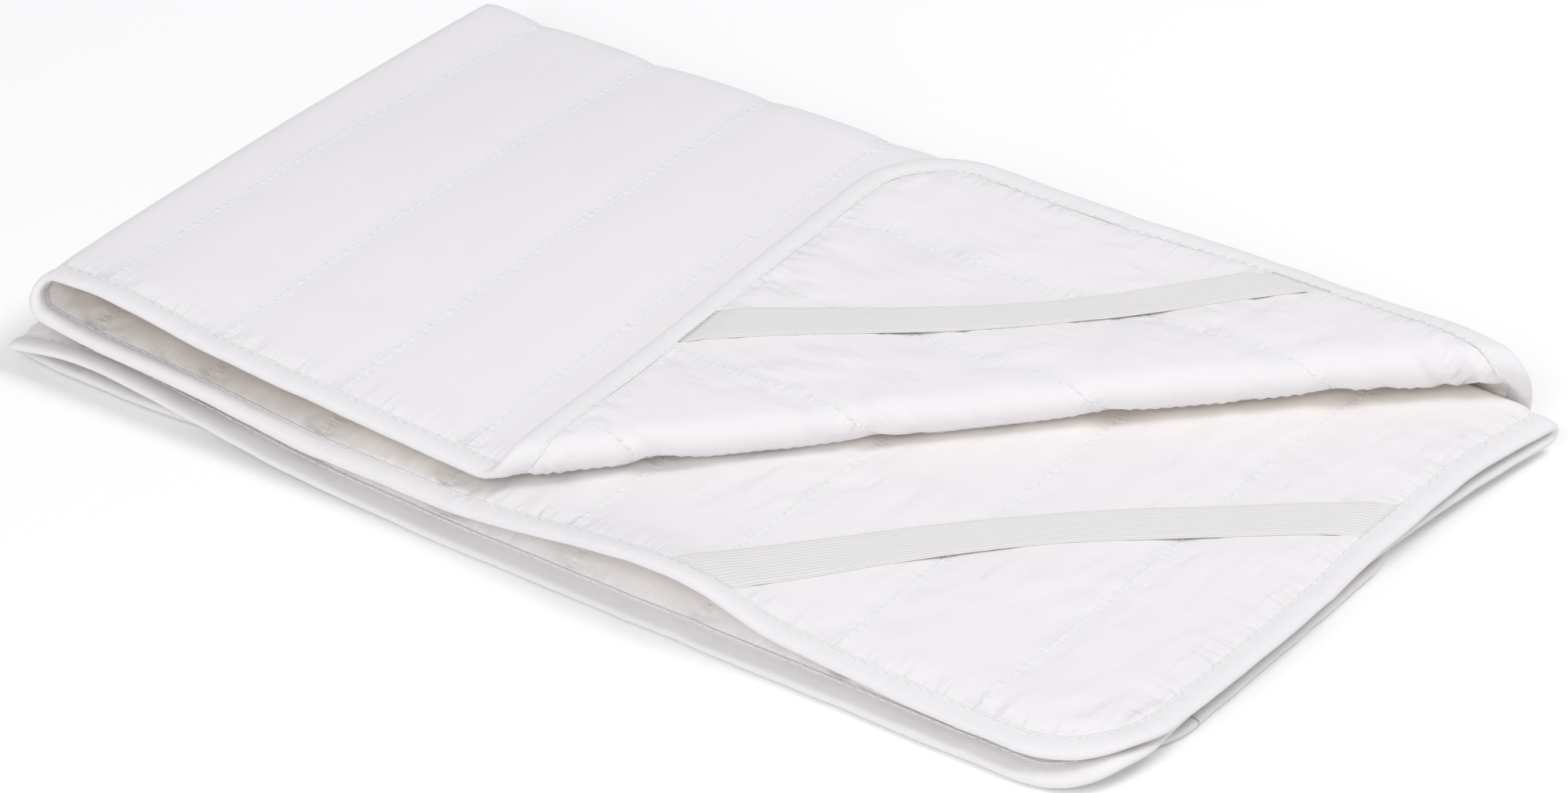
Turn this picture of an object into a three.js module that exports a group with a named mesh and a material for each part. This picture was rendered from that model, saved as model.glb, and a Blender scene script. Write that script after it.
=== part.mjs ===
// A quilted mattress protector for a cot, folded in quarters with one corner turned back.
// Millimetres, +Z up. The origin is on the surface it lies on, under the middle of the folded pad.
//
// The flat cloth has u along its length and v across it, both zero in the middle, and w through it,
// positive on the side that is slept on. Fold one is along u = 0 and fold two along v = 0, so the four
// quarters lie on each other. From the top they are
//   outer top    (u > 0, v < 0)   sleeping side up, its corner turned back
//   inner top    (u < 0, v < 0)   underside up
//   inner bottom (u < 0, v > 0)   sleeping side up
//   outer bottom (u > 0, v > 0)   underside up, lying on the surface
import * as THREE from "three";

// The flat cloth.
const LENGTH = 1200;
const WIDTH = 700;
const CORNER_RADIUS = 50;
const CHANNEL_PITCH = 70; // from one row of quilting to the next, along u
const CROWN = 3; // half the thickness in the middle of a channel
const SEAM = 1.2; // half the thickness on a row of quilting
const SHOULDER = CHANNEL_PITCH / 4; // from a row of quilting to the flat of the channel

// The edge: the pad thins to a tongue, which the binding wraps.
const FULL_INSET = 20; // where the pad reaches its full thickness
const BINDING_WIDTH = 12; // what shows of the binding on each side
const GAP = 0.4; // between pieces that touch
const BINDING_OUTSIDE = 2.3; // half the thickness over the binding, at its inner edge
const BINDING_EDGE = 1.9; // and at the very edge of the cloth
const TONGUE = { root: 0.9, tip: 0.4, tipInset: 2 };

// The elastic bands across the corners.
const BAND = { width: 22, thickness: 0.9, clear: 1.15, steps: 16 };

// The folded pad. Its long side runs along X and its short side along Y.
const FOLD_ONE_X = -LENGTH / 4;
const FOLD_TWO_Y = WIDTH / 4;
const BOTTOM = CROWN; // height of the lowest quarter's middle surface
const FOLD_ONE_HEIGHTS = { top: -288, bottom: -295 }; // x at which fold one takes its two radii
const FOLD_ONE_CHANGE = 20; // |v| within which it goes over from one radius to the other
const FOLD_ONE_STEP = [{ v: -350, x: 8 }, { v: -60, x: 4 }, { v: 60, x: 4 }, { v: 350, x: 0 }]; // inward
const STEP_RUN = 160; // how far along the cloth the step goes on
const BACK_RUN = { y: -60, run: 160 }; // where the sections shift back to meet fold two
const FRONT_RUN = { y: 60, run: 200 }; // how far in a front edge's shift goes on
const RIGHT_RUN = { x: 60, run: 200 }; // and a right edge's
const BOTTOM_CHANGE = 90; // |u| within which one bottom quarter's front edge goes over to the other's
// The crease of the turned corner, as x - y, from its front end to its back end.
const CREASE = [
  { along: 0, across: 135 }, { along: 0.2, across: 131 }, { along: 0.4, across: 126.5 },
  { along: 0.6, across: 122 }, { along: 0.8, across: 120.5 }, { along: 1, across: 126 },
];
const CREASE_RADIUS = { front: 6.4, back: 7.4 };
const CREASE_ENDS = { front: -225, back: 475 }; // x + y at its two ends
const CREASE_ON_CLOTH = 610; // u - v along the crease
const LEVEL_OUT = 20; // how far into the crease the bend of fold two goes on
const TURNED_GAP = 1; // between the turned corner and what it lies on
const SETTLE = 45; // how far behind the crease the turned corner comes down on it
const LOFT = { height: 4.5, x: 40, y: -10, alongX: 90, alongY: 70, run: 60 };
const DROOP = { from: 165, sag: 0.012 }; // of the turned edge over the back
const CENTRE = { x: 4.3, y: -3.9 }; // middle of the footprint, which becomes the origin

// Heights of each quarter's middle surface, in sections across the folded pad from left to right.
const ACROSS = { edge: -178, front: -150, middle: 0, far: 85, back: 158 };
const OUTER_TOP = [
  { x: -300, edge: 43, front: 43, middle: 36, far: 30, back: 24.8 },
  { x: -262, edge: 47, front: 45, middle: 37.5, far: 30.4, back: 24.6 },
  { x: -200, edge: 39.5, front: 39, middle: 36, far: 31.4, back: 26.2 },
  { x: -120, edge: 32, front: 34, middle: 34.5, far: 33, back: 31 },
  { x: -40, edge: 28, front: 30, middle: 32, far: 33, back: 33 },
  { x: 60, edge: 27, front: 28, middle: 30, far: 31, back: 32 },
  { x: 150, edge: 26, front: 27, middle: 28.5, far: 30, back: 31 },
  { x: 310, edge: 24, front: 24.5, middle: 26, far: 26.5, back: 27 },
];
const INNER_TOP = [
  { x: -300, edge: 32, front: 29, middle: 23, far: 20, back: 17.8 },
  { x: -262, edge: 26.5, front: 24.5, middle: 22, far: 19.5, back: 17.8 },
  { x: -200, edge: 23, front: 22, middle: 21, far: 19.5, back: 18 },
  { x: -120, edge: 18, front: 20, middle: 21, far: 20.5, back: 19 },
  { x: -60, edge: 18, front: 20, middle: 21, far: 21, back: 20 },
  { x: 70, edge: 31, front: 26, middle: 22, far: 21, back: 20 },
  { x: 130, edge: 18.5, front: 20, middle: 21.5, far: 20.5, back: 20 },
  { x: 220, edge: 13.4, front: 18.6, middle: 20, far: 20, back: 18.5 },
  { x: 285, edge: 13.4, front: 18.6, middle: 19.6, far: 20.5, back: 17 },
  { x: 310, edge: 12.8, front: 17.2, middle: 18.4, far: 19, back: 11 },
];
const INNER_BOTTOM = [
  { x: -300, edge: 12, front: 11.5, middle: 11, far: 11, back: 11.3 },
  { x: -262, edge: 16, front: 14, middle: 12, far: 11.2, back: 11.3 },
  { x: -200, edge: 10, front: 12, middle: 12, far: 11, back: 10.5 },
  { x: -120, edge: 4, front: 11.4, middle: 12.4, far: 11.4, back: 10.5 },
  { x: -40, edge: 2.4, front: 11.4, middle: 12.6, far: 11.6, back: 10.5 },
  { x: 150, edge: 2.4, front: 11.4, middle: 12.6, far: 11.6, back: 10.5 },
  { x: 285, edge: 2.4, front: 11.4, middle: 12.4, far: 11, back: 9.4 },
  { x: 310, edge: 4, front: 10.5, middle: 11, far: 7, back: 3.2 },
];

// How far the bottom quarters' front edges, and every quarter's right edge, stand from where exact
// folding would put them.
const FRONT_EDGE = {
  innerBottom: [{ x: -300, y: 0 }, { x: 0, y: -4 }, { x: 300, y: -5 }],
  outerBottom: [{ x: -300, y: -13 }, { x: -200, y: -7 }, { x: -100, y: 8 }, { x: 300, y: 10 }],
};
const RIGHT_EDGE = {
  outerTop: [{ y: -175, x: -5 }, { y: -50, x: -4 }, { y: 50, x: 3 }, { y: 110, x: 3 }, { y: 175, x: -6 }],
  innerTop: [
    { y: -175, x: 7 }, { y: -110, x: 10 }, { y: -40, x: 11 },
    { y: 40, x: 8 }, { y: 100, x: 8 }, { y: 175, x: 14 },
  ],
  innerBottom: [
    { y: -175, x: 9 }, { y: -120, x: 2 }, { y: -40, x: 0 },
    { y: 50, x: 2 }, { y: 110, x: 6 }, { y: 175, x: 14 },
  ],
  outerBottom: [
    { y: -175, x: 2 }, { y: 30, x: 1 }, { y: 90, x: -12 }, { y: 140, x: -12 }, { y: 175, x: -6 },
  ],
};

// Each band, by the signs of u and v of its corner, how far from the corner it is sewn to the long
// and to the short edge, and how far its middle bows away from the corner.
const BANDS = [
  { name: "elastic_1", along: 1, across: -1, long: 204, short: 232, bow: 13 },
  { name: "elastic_2", along: -1, across: -1, long: 226, short: 239, bow: 17 },
  { name: "elastic_3", along: -1, across: 1, long: 205, short: 205, bow: 0 },
  { name: "elastic_4", along: 1, across: 1, long: 240, short: 240, bow: 0 },
];

const WHITE_COTTON = { color: 0xeeedf1, roughness: 0.9, metalness: 0 };
const WHITE_BINDING = { color: 0xf0eff2, roughness: 0.85, metalness: 0 };
const WHITE_ELASTIC = { color: 0xe6e6e2, roughness: 0.8, metalness: 0 };

function smooth(t) {
  const s = Math.min(Math.max(t, 0), 1);
  return s * s * (3 - 2 * s);
}

// A smooth curve through values at rising stops, which overshoots none of them.
function through(stops, values, at) {
  const last = stops.length - 1;
  const place = Math.min(Math.max(at, stops[0]), stops[last]);
  let i = 0;
  while (i < last - 1 && place > stops[i + 1]) i += 1;
  const step = (k) => stops[k + 1] - stops[k];
  const rise = (k) => (values[k + 1] - values[k]) / step(k);
  const slope = (k) => {
    if (k === 0) return rise(0);
    if (k === last) return rise(last - 1);
    if (rise(k - 1) * rise(k) <= 0) return 0;
    const before = 2 * step(k) + step(k - 1);
    const after = step(k) + 2 * step(k - 1);
    return (before + after) / (before / rise(k - 1) + after / rise(k));
  };
  const t = (place - stops[i]) / step(i);
  return (
    (1 + 2 * t) * (1 - t) ** 2 * values[i] +
    t * (1 - t) ** 2 * step(i) * slope(i) +
    t ** 2 * (3 - 2 * t) * values[i + 1] -
    t ** 2 * (1 - t) * step(i) * slope(i + 1)
  );
}

function columnOf(rows, name) {
  return rows.map((row) => row[name]);
}

// Height of a quarter's middle surface over the point x, y.
function heightOf(sections, x, y) {
  const stops = columnOf(sections, "x");
  const values = Object.keys(ACROSS).map((name) => through(stops, columnOf(sections, name), x));
  return through(Object.values(ACROSS), values, y);
}

function offsetOf(rows, by, of, at) {
  return through(columnOf(rows, by), columnOf(rows, of), at);
}

function quarterOf(u, v) {
  if (v < 0) return u < 0 ? "innerTop" : "outerTop";
  return u < 0 ? "innerBottom" : "outerBottom";
}

// Where the flat point u, v lies once the cloth is folded in quarters, and unrolledY, where it would
// lie along Y if the outer top quarter went on flat over fold two.
function foldedPoint(u, v) {
  const y = Math.min(FOLD_TWO_Y - Math.abs(v), ACROSS.back);
  const { top, bottom } = FOLD_ONE_HEIGHTS;
  const topRadius = (heightOf(OUTER_TOP, top, y) - heightOf(INNER_TOP, top, y)) / 2;
  const bottomRadius = (heightOf(INNER_BOTTOM, bottom, y) - BOTTOM) / 2;
  const change = smooth((v + FOLD_ONE_CHANGE) / (2 * FOLD_ONE_CHANGE));
  const radius = THREE.MathUtils.lerp(topRadius, bottomRadius, change);
  const step = offsetOf(FOLD_ONE_STEP, "v", "x", v);
  const arc = (Math.PI * radius) / 2;
  const reach = Math.abs(u);
  const inFoldOne = reach < arc;
  let turn = u > 0 ? 0 : Math.PI;
  if (inFoldOne) turn = ((1 - u / arc) * Math.PI) / 2;
  let x = FOLD_ONE_X + radius + reach - arc + step * smooth((arc + STEP_RUN - reach) / STEP_RUN);
  if (inFoldOne) x = FOLD_ONE_X + step + radius * (1 - Math.sin(turn));

  const upper = (at) => {
    const a = heightOf(OUTER_TOP, x, at);
    const b = heightOf(INNER_TOP, x, at);
    return (a + b) / 2 + ((a - b) / 2) * Math.cos(turn);
  };
  const lower = (at) => {
    const c = heightOf(INNER_BOTTOM, x, at);
    return (BOTTOM + c) / 2 - ((c - BOTTOM) / 2) * Math.cos(turn);
  };
  const high = upper(ACROSS.back);
  const low = lower(ACROSS.back);
  const bend = (high - low) / 2;
  const axis = FOLD_TWO_Y - (heightOf(OUTER_TOP, x, ACROSS.back) - BOTTOM) / 2;
  const bendArc = (Math.PI * bend) / 2;
  const point = new THREE.Vector3(x, 0, 0);
  if (Math.abs(v) < bendArc) {
    point.y = axis + bend * Math.cos(v / bend);
    point.z = (high + low) / 2 - bend * Math.sin(v / bend);
  } else {
    point.y = axis - Math.abs(v) + bendArc;
    const shift = (ACROSS.back - axis) * smooth((point.y - BACK_RUN.y) / BACK_RUN.run);
    const at = Math.min(point.y + shift, ACROSS.back);
    point.z = v < 0 ? upper(at) : lower(at);
  }
  const out = offsetOf(RIGHT_EDGE[quarterOf(u, v)], "y", "x", point.y);
  if (v > 0) {
    const inner = offsetOf(FRONT_EDGE.innerBottom, "x", "y", point.x);
    const outer = offsetOf(FRONT_EDGE.outerBottom, "x", "y", point.x);
    const turned = smooth((u + BOTTOM_CHANGE) / (2 * BOTTOM_CHANGE));
    const front = THREE.MathUtils.lerp(inner, outer, turned);
    point.y += front * smooth((FRONT_RUN.y - point.y) / FRONT_RUN.run);
  }
  point.x += out * smooth((point.x - RIGHT_RUN.x) / RIGHT_RUN.run);
  return { point, unrolledY: axis + bendArc + v };
}

// Turns the front corner of the outer top quarter back over its crease.
function turnedPoint({ point, unrolledY }, u) {
  const { x, y, z } = point;
  const { front, back } = CREASE_ENDS;
  const along = THREE.MathUtils.clamp((x + unrolledY - front) / (back - front), 0, 1);
  const crease = offsetOf(CREASE, "along", "across", along);
  const inner = THREE.MathUtils.lerp(CREASE_RADIUS.front, CREASE_RADIUS.back, along);
  const arc = Math.PI * inner;
  const past = (x - unrolledY - crease) / Math.SQRT2 + arc / 2;
  if (u <= 0 || past <= 0) return point;
  const level = smooth(past / LEVEL_OUT);
  const depth = (heightOf(OUTER_TOP, x, y) - z) * (1 - level);
  const turn = Math.min(past / inner, Math.PI);
  const footX = x - past / Math.SQRT2;
  const footY = THREE.MathUtils.lerp(y, unrolledY, level) + past / Math.SQRT2;
  const beyond = Math.max(past - arc, 0);
  const out = inner * Math.sin(turn) - beyond;
  const landX = footX + out / Math.SQRT2;
  const landY = footY - out / Math.SQRT2;
  if (beyond === 0) {
    const height = heightOf(OUTER_TOP, footX, footY) + inner * (1 - Math.cos(turn)) - depth;
    return new THREE.Vector3(landX, landY, height);
  }
  const apart = 2 * CROWN + TURNED_GAP;
  const rest = apart + (2 * inner - apart) * Math.exp(-((beyond / SETTLE) ** 2));
  const spread = ((landX - LOFT.x) / LOFT.alongX) ** 2 + ((landY - LOFT.y) / LOFT.alongY) ** 2;
  const loft = LOFT.height * Math.exp(-spread) * smooth(beyond / LOFT.run);
  const droop = DROOP.sag * Math.max(landY - DROOP.from, 0) ** 2;
  const under = heightOf(OUTER_TOP, landX, Math.min(landY, ACROSS.back));
  return new THREE.Vector3(landX, landY, under + rest + loft - droop);
}

function middlePoint(u, v) {
  return turnedPoint(foldedPoint(u, v), u);
}

// The folded place of the flat point u, v, at the distance w from the middle surface.
function placed(u, v, w) {
  const h = 0.5; // half the step that gives the surface's slopes
  const alongU = middlePoint(u + h, v).sub(middlePoint(u - h, v));
  const alongV = middlePoint(u, v + h).sub(middlePoint(u, v - h));
  const point = middlePoint(u, v).addScaledVector(alongU.cross(alongV).normalize(), w);
  return new THREE.Vector3(point.x - CENTRE.x, point.y - CENTRE.y, Math.max(point.z, 0));
}

// Half the pad's thickness over its channels, which run across the cloth.
function halfThickness(u) {
  const lastSeam = (Math.floor(LENGTH / 2 / CHANNEL_PITCH) - 0.5) * CHANNEL_PITCH;
  const toSeam = Math.abs(u) > lastSeam
    ? Math.abs(u) - lastSeam
    : Math.abs(THREE.MathUtils.euclideanModulo(u, CHANNEL_PITCH) - CHANNEL_PITCH / 2);
  return THREE.MathUtils.lerp(SEAM, CROWN, Math.min(toSeam / SHOULDER, 1));
}

// The cloth's rounded outline, drawn in by inset, one point for each rim direction.
function rimPoint(rim, inset) {
  const room = CORNER_RADIUS - inset;
  return [rim.u + rim.outU * room, rim.v + rim.outV * room];
}

// A point of the rim, from a point on the outline drawn in by FULL_INSET.
function rimAt(u, v) {
  const coreU = THREE.MathUtils.clamp(u, CORNER_RADIUS - LENGTH / 2, LENGTH / 2 - CORNER_RADIUS);
  const coreV = THREE.MathUtils.clamp(v, CORNER_RADIUS - WIDTH / 2, WIDTH / 2 - CORNER_RADIUS);
  const far = Math.hypot(u - coreU, v - coreV);
  return { u: coreU, v: coreV, outU: (u - coreU) / far, outV: (v - coreV) / far };
}

// The outline drawn in by FULL_INSET, as a convex polygon.
function innerOutline() {
  const steps = 4; // to each rounded corner
  const polygon = [];
  for (let corner = 0; corner < 4; corner += 1) {
    const signU = corner === 0 || corner === 3 ? 1 : -1;
    const signV = corner < 2 ? 1 : -1;
    for (let i = 0; i <= steps; i += 1) {
      const angle = (corner + i / steps) * (Math.PI / 2);
      polygon.push([
        signU * (LENGTH / 2 - CORNER_RADIUS) + (CORNER_RADIUS - FULL_INSET) * Math.cos(angle),
        signV * (WIDTH / 2 - CORNER_RADIUS) + (CORNER_RADIUS - FULL_INSET) * Math.sin(angle),
      ]);
    }
  }
  return polygon;
}

// Cuts a convex polygon along the line a u + b v = c, and gives back its one or two parts.
function cutPolygon(polygon, { a, b, c }) {
  const side = polygon.map(([u, v]) => {
    const d = a * u + b * v - c;
    return Math.abs(d) < 1e-6 ? 0 : d;
  });
  if (side.every((d) => d >= 0) || side.every((d) => d <= 0)) return [polygon];
  const above = [];
  const below = [];
  polygon.forEach((p, i) => {
    const j = (i + 1) % polygon.length;
    const q = polygon[j];
    if (side[i] >= 0) above.push(p);
    if (side[i] <= 0) below.push(p);
    if (side[i] * side[j] < 0) {
      const t = side[i] / (side[i] - side[j]);
      const cut = [p[0] + t * (q[0] - p[0]), p[1] + t * (q[1] - p[1])];
      above.push(cut);
      below.push(cut);
    }
  });
  return [above, below];
}

// The lines along which the cloth bends: quilting and channel shoulders, both folds, the crease.
function bendLines() {
  const lines = [];
  const alongFoldOne = [0, 4, 8, 12];
  for (let seam = CHANNEL_PITCH / 2; seam < LENGTH / 2 - CHANNEL_PITCH; seam += CHANNEL_PITCH) {
    alongFoldOne.push(seam - SHOULDER, seam, seam + SHOULDER);
  }
  const alongFoldTwo = [0, 7, 14, 21, 75, 150, 230, 297, 317];
  for (const sign of [-1, 1]) {
    for (const u of alongFoldOne) lines.push({ a: 1, b: 0, c: sign * u });
    for (const v of alongFoldTwo) lines.push({ a: 0, b: 1, c: sign * v });
  }
  for (const past of [-21, -14, -7, 0, 7, 14, 21]) {
    lines.push({ a: 1, b: -1, c: CREASE_ON_CLOTH + past, turned: true });
  }
  return lines;
}

// The flat cloth inside FULL_INSET, cut into convex cells along its bend lines.
function flatCells() {
  let cells = [innerOutline()];
  for (const line of bendLines()) {
    cells = cells.flatMap((cell) => {
      const inTurnedQuarter = cell.every(([u, v]) => u > -1e-6 && v < 1e-6);
      return line.turned && !inTurnedQuarter ? [cell] : cutPolygon(cell, line);
    });
  }
  return cells;
}

// Rim points between the cells' own corners, for the tight bends at the two ends of the folded edge.
function extraRimPoints() {
  const acrossCrease = [17.5, 24.5, 31.5, 38.5, 45.5].map((v) => [LENGTH / 2 - FULL_INSET, -v]);
  const roundFoldOne = [-6, -2, 2, 6].map((u) => [u, WIDTH / 2 - FULL_INSET]);
  return [...acrossCrease, ...roundFoldOne];
}

// The cell with those of the points that lie on its sides put in between its corners.
function withPoints(cell, points) {
  return cell.flatMap((a, i) => {
    const b = cell[(i + 1) % cell.length];
    const run = Math.hypot(b[0] - a[0], b[1] - a[1]);
    const along = (p) => ((p[0] - a[0]) * (b[0] - a[0]) + (p[1] - a[1]) * (b[1] - a[1])) / run;
    const aside = (p) => ((p[0] - a[0]) * (b[1] - a[1]) - (p[1] - a[1]) * (b[0] - a[0])) / run;
    const on = points.filter((p) => Math.abs(aside(p)) < 1e-3 && along(p) > 0.1 && along(p) < run - 0.1);
    return [a, ...on.sort((p, q) => along(p) - along(q))];
  });
}

// Numbers each corner of the cells once, and gives the cells and the rim in those numbers.
function flatMesh() {
  const points = [];
  const numbers = new Map();
  const numberOf = ([u, v]) => {
    const key = `${Math.round(u * 1e3)},${Math.round(v * 1e3)}`;
    if (!numbers.has(key)) {
      numbers.set(key, points.length);
      points.push([u, v]);
    }
    return numbers.get(key);
  };
  const extra = extraRimPoints();
  const cells = flatCells().map((cell) => withPoints(cell, extra).map(numberOf));
  return { points, cells, rim: rimOrder(cells) };
}

// The cells' outer corners in order round the cloth: the edges that only one cell has.
function rimOrder(cells) {
  const next = new Map();
  const seen = new Set();
  for (const cell of cells) {
    cell.forEach((a, i) => seen.add(`${a},${cell[(i + 1) % cell.length]}`));
  }
  for (const cell of cells) {
    cell.forEach((a, i) => {
      const b = cell[(i + 1) % cell.length];
      if (!seen.has(`${b},${a}`)) next.set(a, b);
    });
  }
  const order = [next.keys().next().value];
  while (next.get(order.at(-1)) !== order[0]) order.push(next.get(order.at(-1)));
  if (order.length !== next.size) throw new Error("the rim is not one loop");
  return order;
}

// Which way each step of the rim is split, so that the split lies along a crease and not across it.
// Across a crease the two corners come closer together.
function leansOf(flat) {
  const at = (i, inset) => {
    const [u, v] = rimPoint(rimAt(...flat.points[flat.rim[i]]), inset);
    return middlePoint(u, v);
  };
  return flat.rim.map((_, i) => {
    const j = (i + 1) % flat.rim.length;
    return at(i, 0).distanceTo(at(j, FULL_INSET)) > at(j, 0).distanceTo(at(i, FULL_INSET));
  });
}

// Splits a convex cell into a fan of triangles, from the corner that keeps them fattest.
function fan(cell, points) {
  const area = (a, b, c) => {
    const [p, q, r] = [points[a], points[b], points[c]];
    return ((q[0] - p[0]) * (r[1] - p[1]) - (q[1] - p[1]) * (r[0] - p[0])) / 2;
  };
  let best = { least: -Infinity, triangles: [] };
  cell.forEach((_, apex) => {
    const turned = [...cell.slice(apex), ...cell.slice(0, apex)];
    const triangles = turned.slice(1, -1).map((b, i) => [turned[0], b, turned[i + 2]]);
    const least = Math.min(...triangles.map((t) => area(...t)));
    if (least > best.least) best = { least, triangles };
  });
  return best.triangles;
}

function meshOf(name, vertices, triangles, finish) {
  const geometry = new THREE.BufferGeometry();
  geometry.setAttribute(
    "position",
    new THREE.Float32BufferAttribute(vertices.flatMap((p) => [p.x, p.y, p.z]), 3),
  );
  geometry.setIndex(triangles.flat());
  geometry.computeVertexNormals();
  const mesh = new THREE.Mesh(geometry, new THREE.MeshStandardMaterial(finish));
  mesh.name = name;
  return mesh;
}

// Two triangles for each step between two loops of the same count, split the way each step leans.
function band(outer, inner, leans) {
  return outer.flatMap((a, i) => {
    const j = (i + 1) % outer.length;
    return leans[i]
      ? [[a, outer[j], inner[j]], [a, inner[j], inner[i]]]
      : [[a, outer[j], inner[i]], [outer[j], inner[j], inner[i]]];
  });
}

function flipped(triangles) {
  return triangles.map(([a, b, c]) => [a, c, b]);
}

// The quilted pad: both faces from one set of flat cells, then the tongue and its thin edge.
function makePad(flat) {
  const vertices = [];
  const triangles = [];
  const add = (u, v, w) => vertices.push(placed(u, v, w)) - 1;
  const rings = [
    { inset: BINDING_WIDTH + GAP, half: TONGUE.root },
    { inset: TONGUE.tipInset, half: TONGUE.tip },
  ];
  const sides = [1, -1].map((side) => {
    const face = flat.points.map(([u, v]) => add(u, v, side * halfThickness(u)));
    for (const cell of flat.cells) {
      for (const [a, b, c] of fan(cell, flat.points)) {
        triangles.push(side > 0 ? [face[a], face[b], face[c]] : [face[a], face[c], face[b]]);
      }
    }
    let loop = flat.rim.map((i) => face[i]);
    for (const { inset, half } of rings) {
      const outer = flat.rim.map((i) => add(...rimPoint(rimAt(...flat.points[i]), inset), side * half));
      const strip = band(outer, loop, flat.leans);
      triangles.push(...(side > 0 ? strip : flipped(strip)));
      loop = outer;
    }
    return loop;
  });
  triangles.push(...band(sides[1], sides[0], flat.leans));
  return meshOf("pad", vertices, triangles, WHITE_COTTON);
}

// The binding: one folded tape round the whole edge, its section carried from point to point.
function makeBinding(flat) {
  const innerRoot = TONGUE.root + GAP;
  const innerTip = TONGUE.tip + GAP;
  const section = [
    { inset: BINDING_WIDTH, w: BINDING_OUTSIDE },
    { inset: 0, w: BINDING_EDGE },
    { inset: 0, w: -BINDING_EDGE },
    { inset: BINDING_WIDTH, w: -BINDING_OUTSIDE },
    { inset: BINDING_WIDTH, w: -innerRoot },
    { inset: TONGUE.tipInset - GAP, w: -innerTip },
    { inset: TONGUE.tipInset - GAP, w: innerTip },
    { inset: BINDING_WIDTH, w: innerRoot },
  ];
  const vertices = [];
  const loops = section.map(({ inset, w }) => flat.rim.map((i) => {
    const [u, v] = rimPoint(rimAt(...flat.points[i]), inset);
    return vertices.push(placed(u, v, w)) - 1;
  }));
  const triangles = loops.flatMap((loop, i) => {
    const j = (i + 1) % loops.length;
    const outward = section[j].inset < section[i].inset;
    return outward ? band(loops[j], loop, flat.leans) : flipped(band(loop, loops[j], flat.leans));
  });
  return meshOf("binding", vertices, triangles, WHITE_BINDING);
}

// An elastic band across a corner on the underside, from binding to binding.
function makeElastic({ name, along, across, long, short, bow }) {
  const inner = -(CROWN + BAND.clear);
  const outer = inner - BAND.thickness;
  const vertices = [];
  const clear = BINDING_WIDTH + 2 * GAP;
  for (let i = 0; i <= BAND.steps; i += 1) {
    const t = i / BAND.steps;
    const bowed = (bow * Math.sin(Math.PI * t)) / Math.SQRT2;
    const corners = [-1, 1].map((side) => {
      const wider = (side * BAND.width) / Math.SQRT2 - clear;
      const inU = THREE.MathUtils.lerp(clear, long + wider, t) + bowed;
      const inV = THREE.MathUtils.lerp(short + wider, clear, t) + bowed;
      return [along * (LENGTH / 2 - inU), across * (WIDTH / 2 - inV)];
    });
    vertices.push(
      placed(...corners[0], inner), placed(...corners[1], inner),
      placed(...corners[1], outer), placed(...corners[0], outer),
    );
  }
  const triangles = [];
  for (let i = 0; i < BAND.steps; i += 1) {
    const here = [0, 1, 2, 3].map((k) => 4 * i + k);
    triangles.push(...band(here, here.map((k) => k + 4), [true, true, true, true]));
  }
  const end = 4 * BAND.steps;
  triangles.push([0, 2, 1], [0, 3, 2], [end, end + 1, end + 2], [end, end + 2, end + 3]);
  const outward = along * across > 0 ? flipped(triangles) : triangles;
  return meshOf(name, vertices, outward, WHITE_ELASTIC);
}

const cloth = flatMesh();
const flat = { ...cloth, leans: leansOf(cloth) };
const protector = new THREE.Group();
protector.add(makePad(flat), makeBinding(flat), ...BANDS.map(makeElastic));

export default protector;
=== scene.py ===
# %% [markdown]
# # A quilted mattress protector, folded in quarters
# The real thing is one flat pad for a cot: two cotton faces and a thin wadding, sewn together in
# straight channels, with a bias tape round the edge and a ribbed elastic across each corner of the
# underside. It lies folded in quarters with the top corner turned back. We could sculpt the folded
# heap, but cloth keeps its length when it folds. So every piece here is drawn on the flat cloth and
# one function carries it into the fold, and seams, stitches and weave all stay where they were sewn.

import math

import bpy
import numpy as np
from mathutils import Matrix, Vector


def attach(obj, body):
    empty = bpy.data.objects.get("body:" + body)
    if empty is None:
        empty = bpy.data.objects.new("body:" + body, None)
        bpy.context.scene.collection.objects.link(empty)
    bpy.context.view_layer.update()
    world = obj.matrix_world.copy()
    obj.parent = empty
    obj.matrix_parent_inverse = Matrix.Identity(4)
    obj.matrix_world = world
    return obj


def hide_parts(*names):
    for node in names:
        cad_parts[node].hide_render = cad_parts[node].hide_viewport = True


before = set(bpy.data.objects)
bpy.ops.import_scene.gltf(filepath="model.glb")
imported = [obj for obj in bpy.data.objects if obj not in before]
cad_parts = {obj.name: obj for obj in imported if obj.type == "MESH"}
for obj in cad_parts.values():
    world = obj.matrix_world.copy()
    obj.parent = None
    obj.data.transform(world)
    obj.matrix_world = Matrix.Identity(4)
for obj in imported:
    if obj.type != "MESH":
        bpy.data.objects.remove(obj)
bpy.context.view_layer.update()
print("CAD nodes:", sorted(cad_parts))

# %% [markdown]
# ## The flat cloth
# Sizes are in millimetres while the cloth is being folded, and become metres when a mesh is made.
# On the flat cloth u runs along its length, v across it, and w through it, positive on the side that
# is slept on. These are the CAD source's own sizes, so the fine pieces lie where the CAD pieces lie.

# %% Sizes of the flat cloth
MM = 0.001
LENGTH, WIDTH, CORNER_RADIUS = 1200.0, 700.0, 50.0
CHANNEL_PITCH = 70.0
CROWN, SEAM = 3.0, 1.2
BINDING_WIDTH = 12.0
TONGUE_ROOT, TONGUE_TIP, TIP_INSET = 0.9, 0.4, 2.0
SEAMS = np.arange(CHANNEL_PITCH / 2, LENGTH / 2 - CHANNEL_PITCH, CHANNEL_PITCH)
SEAMS = np.concatenate([-SEAMS[::-1], SEAMS])
print(len(SEAMS), "rows of quilting, from", SEAMS[0], "to", SEAMS[-1], "mm")

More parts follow.
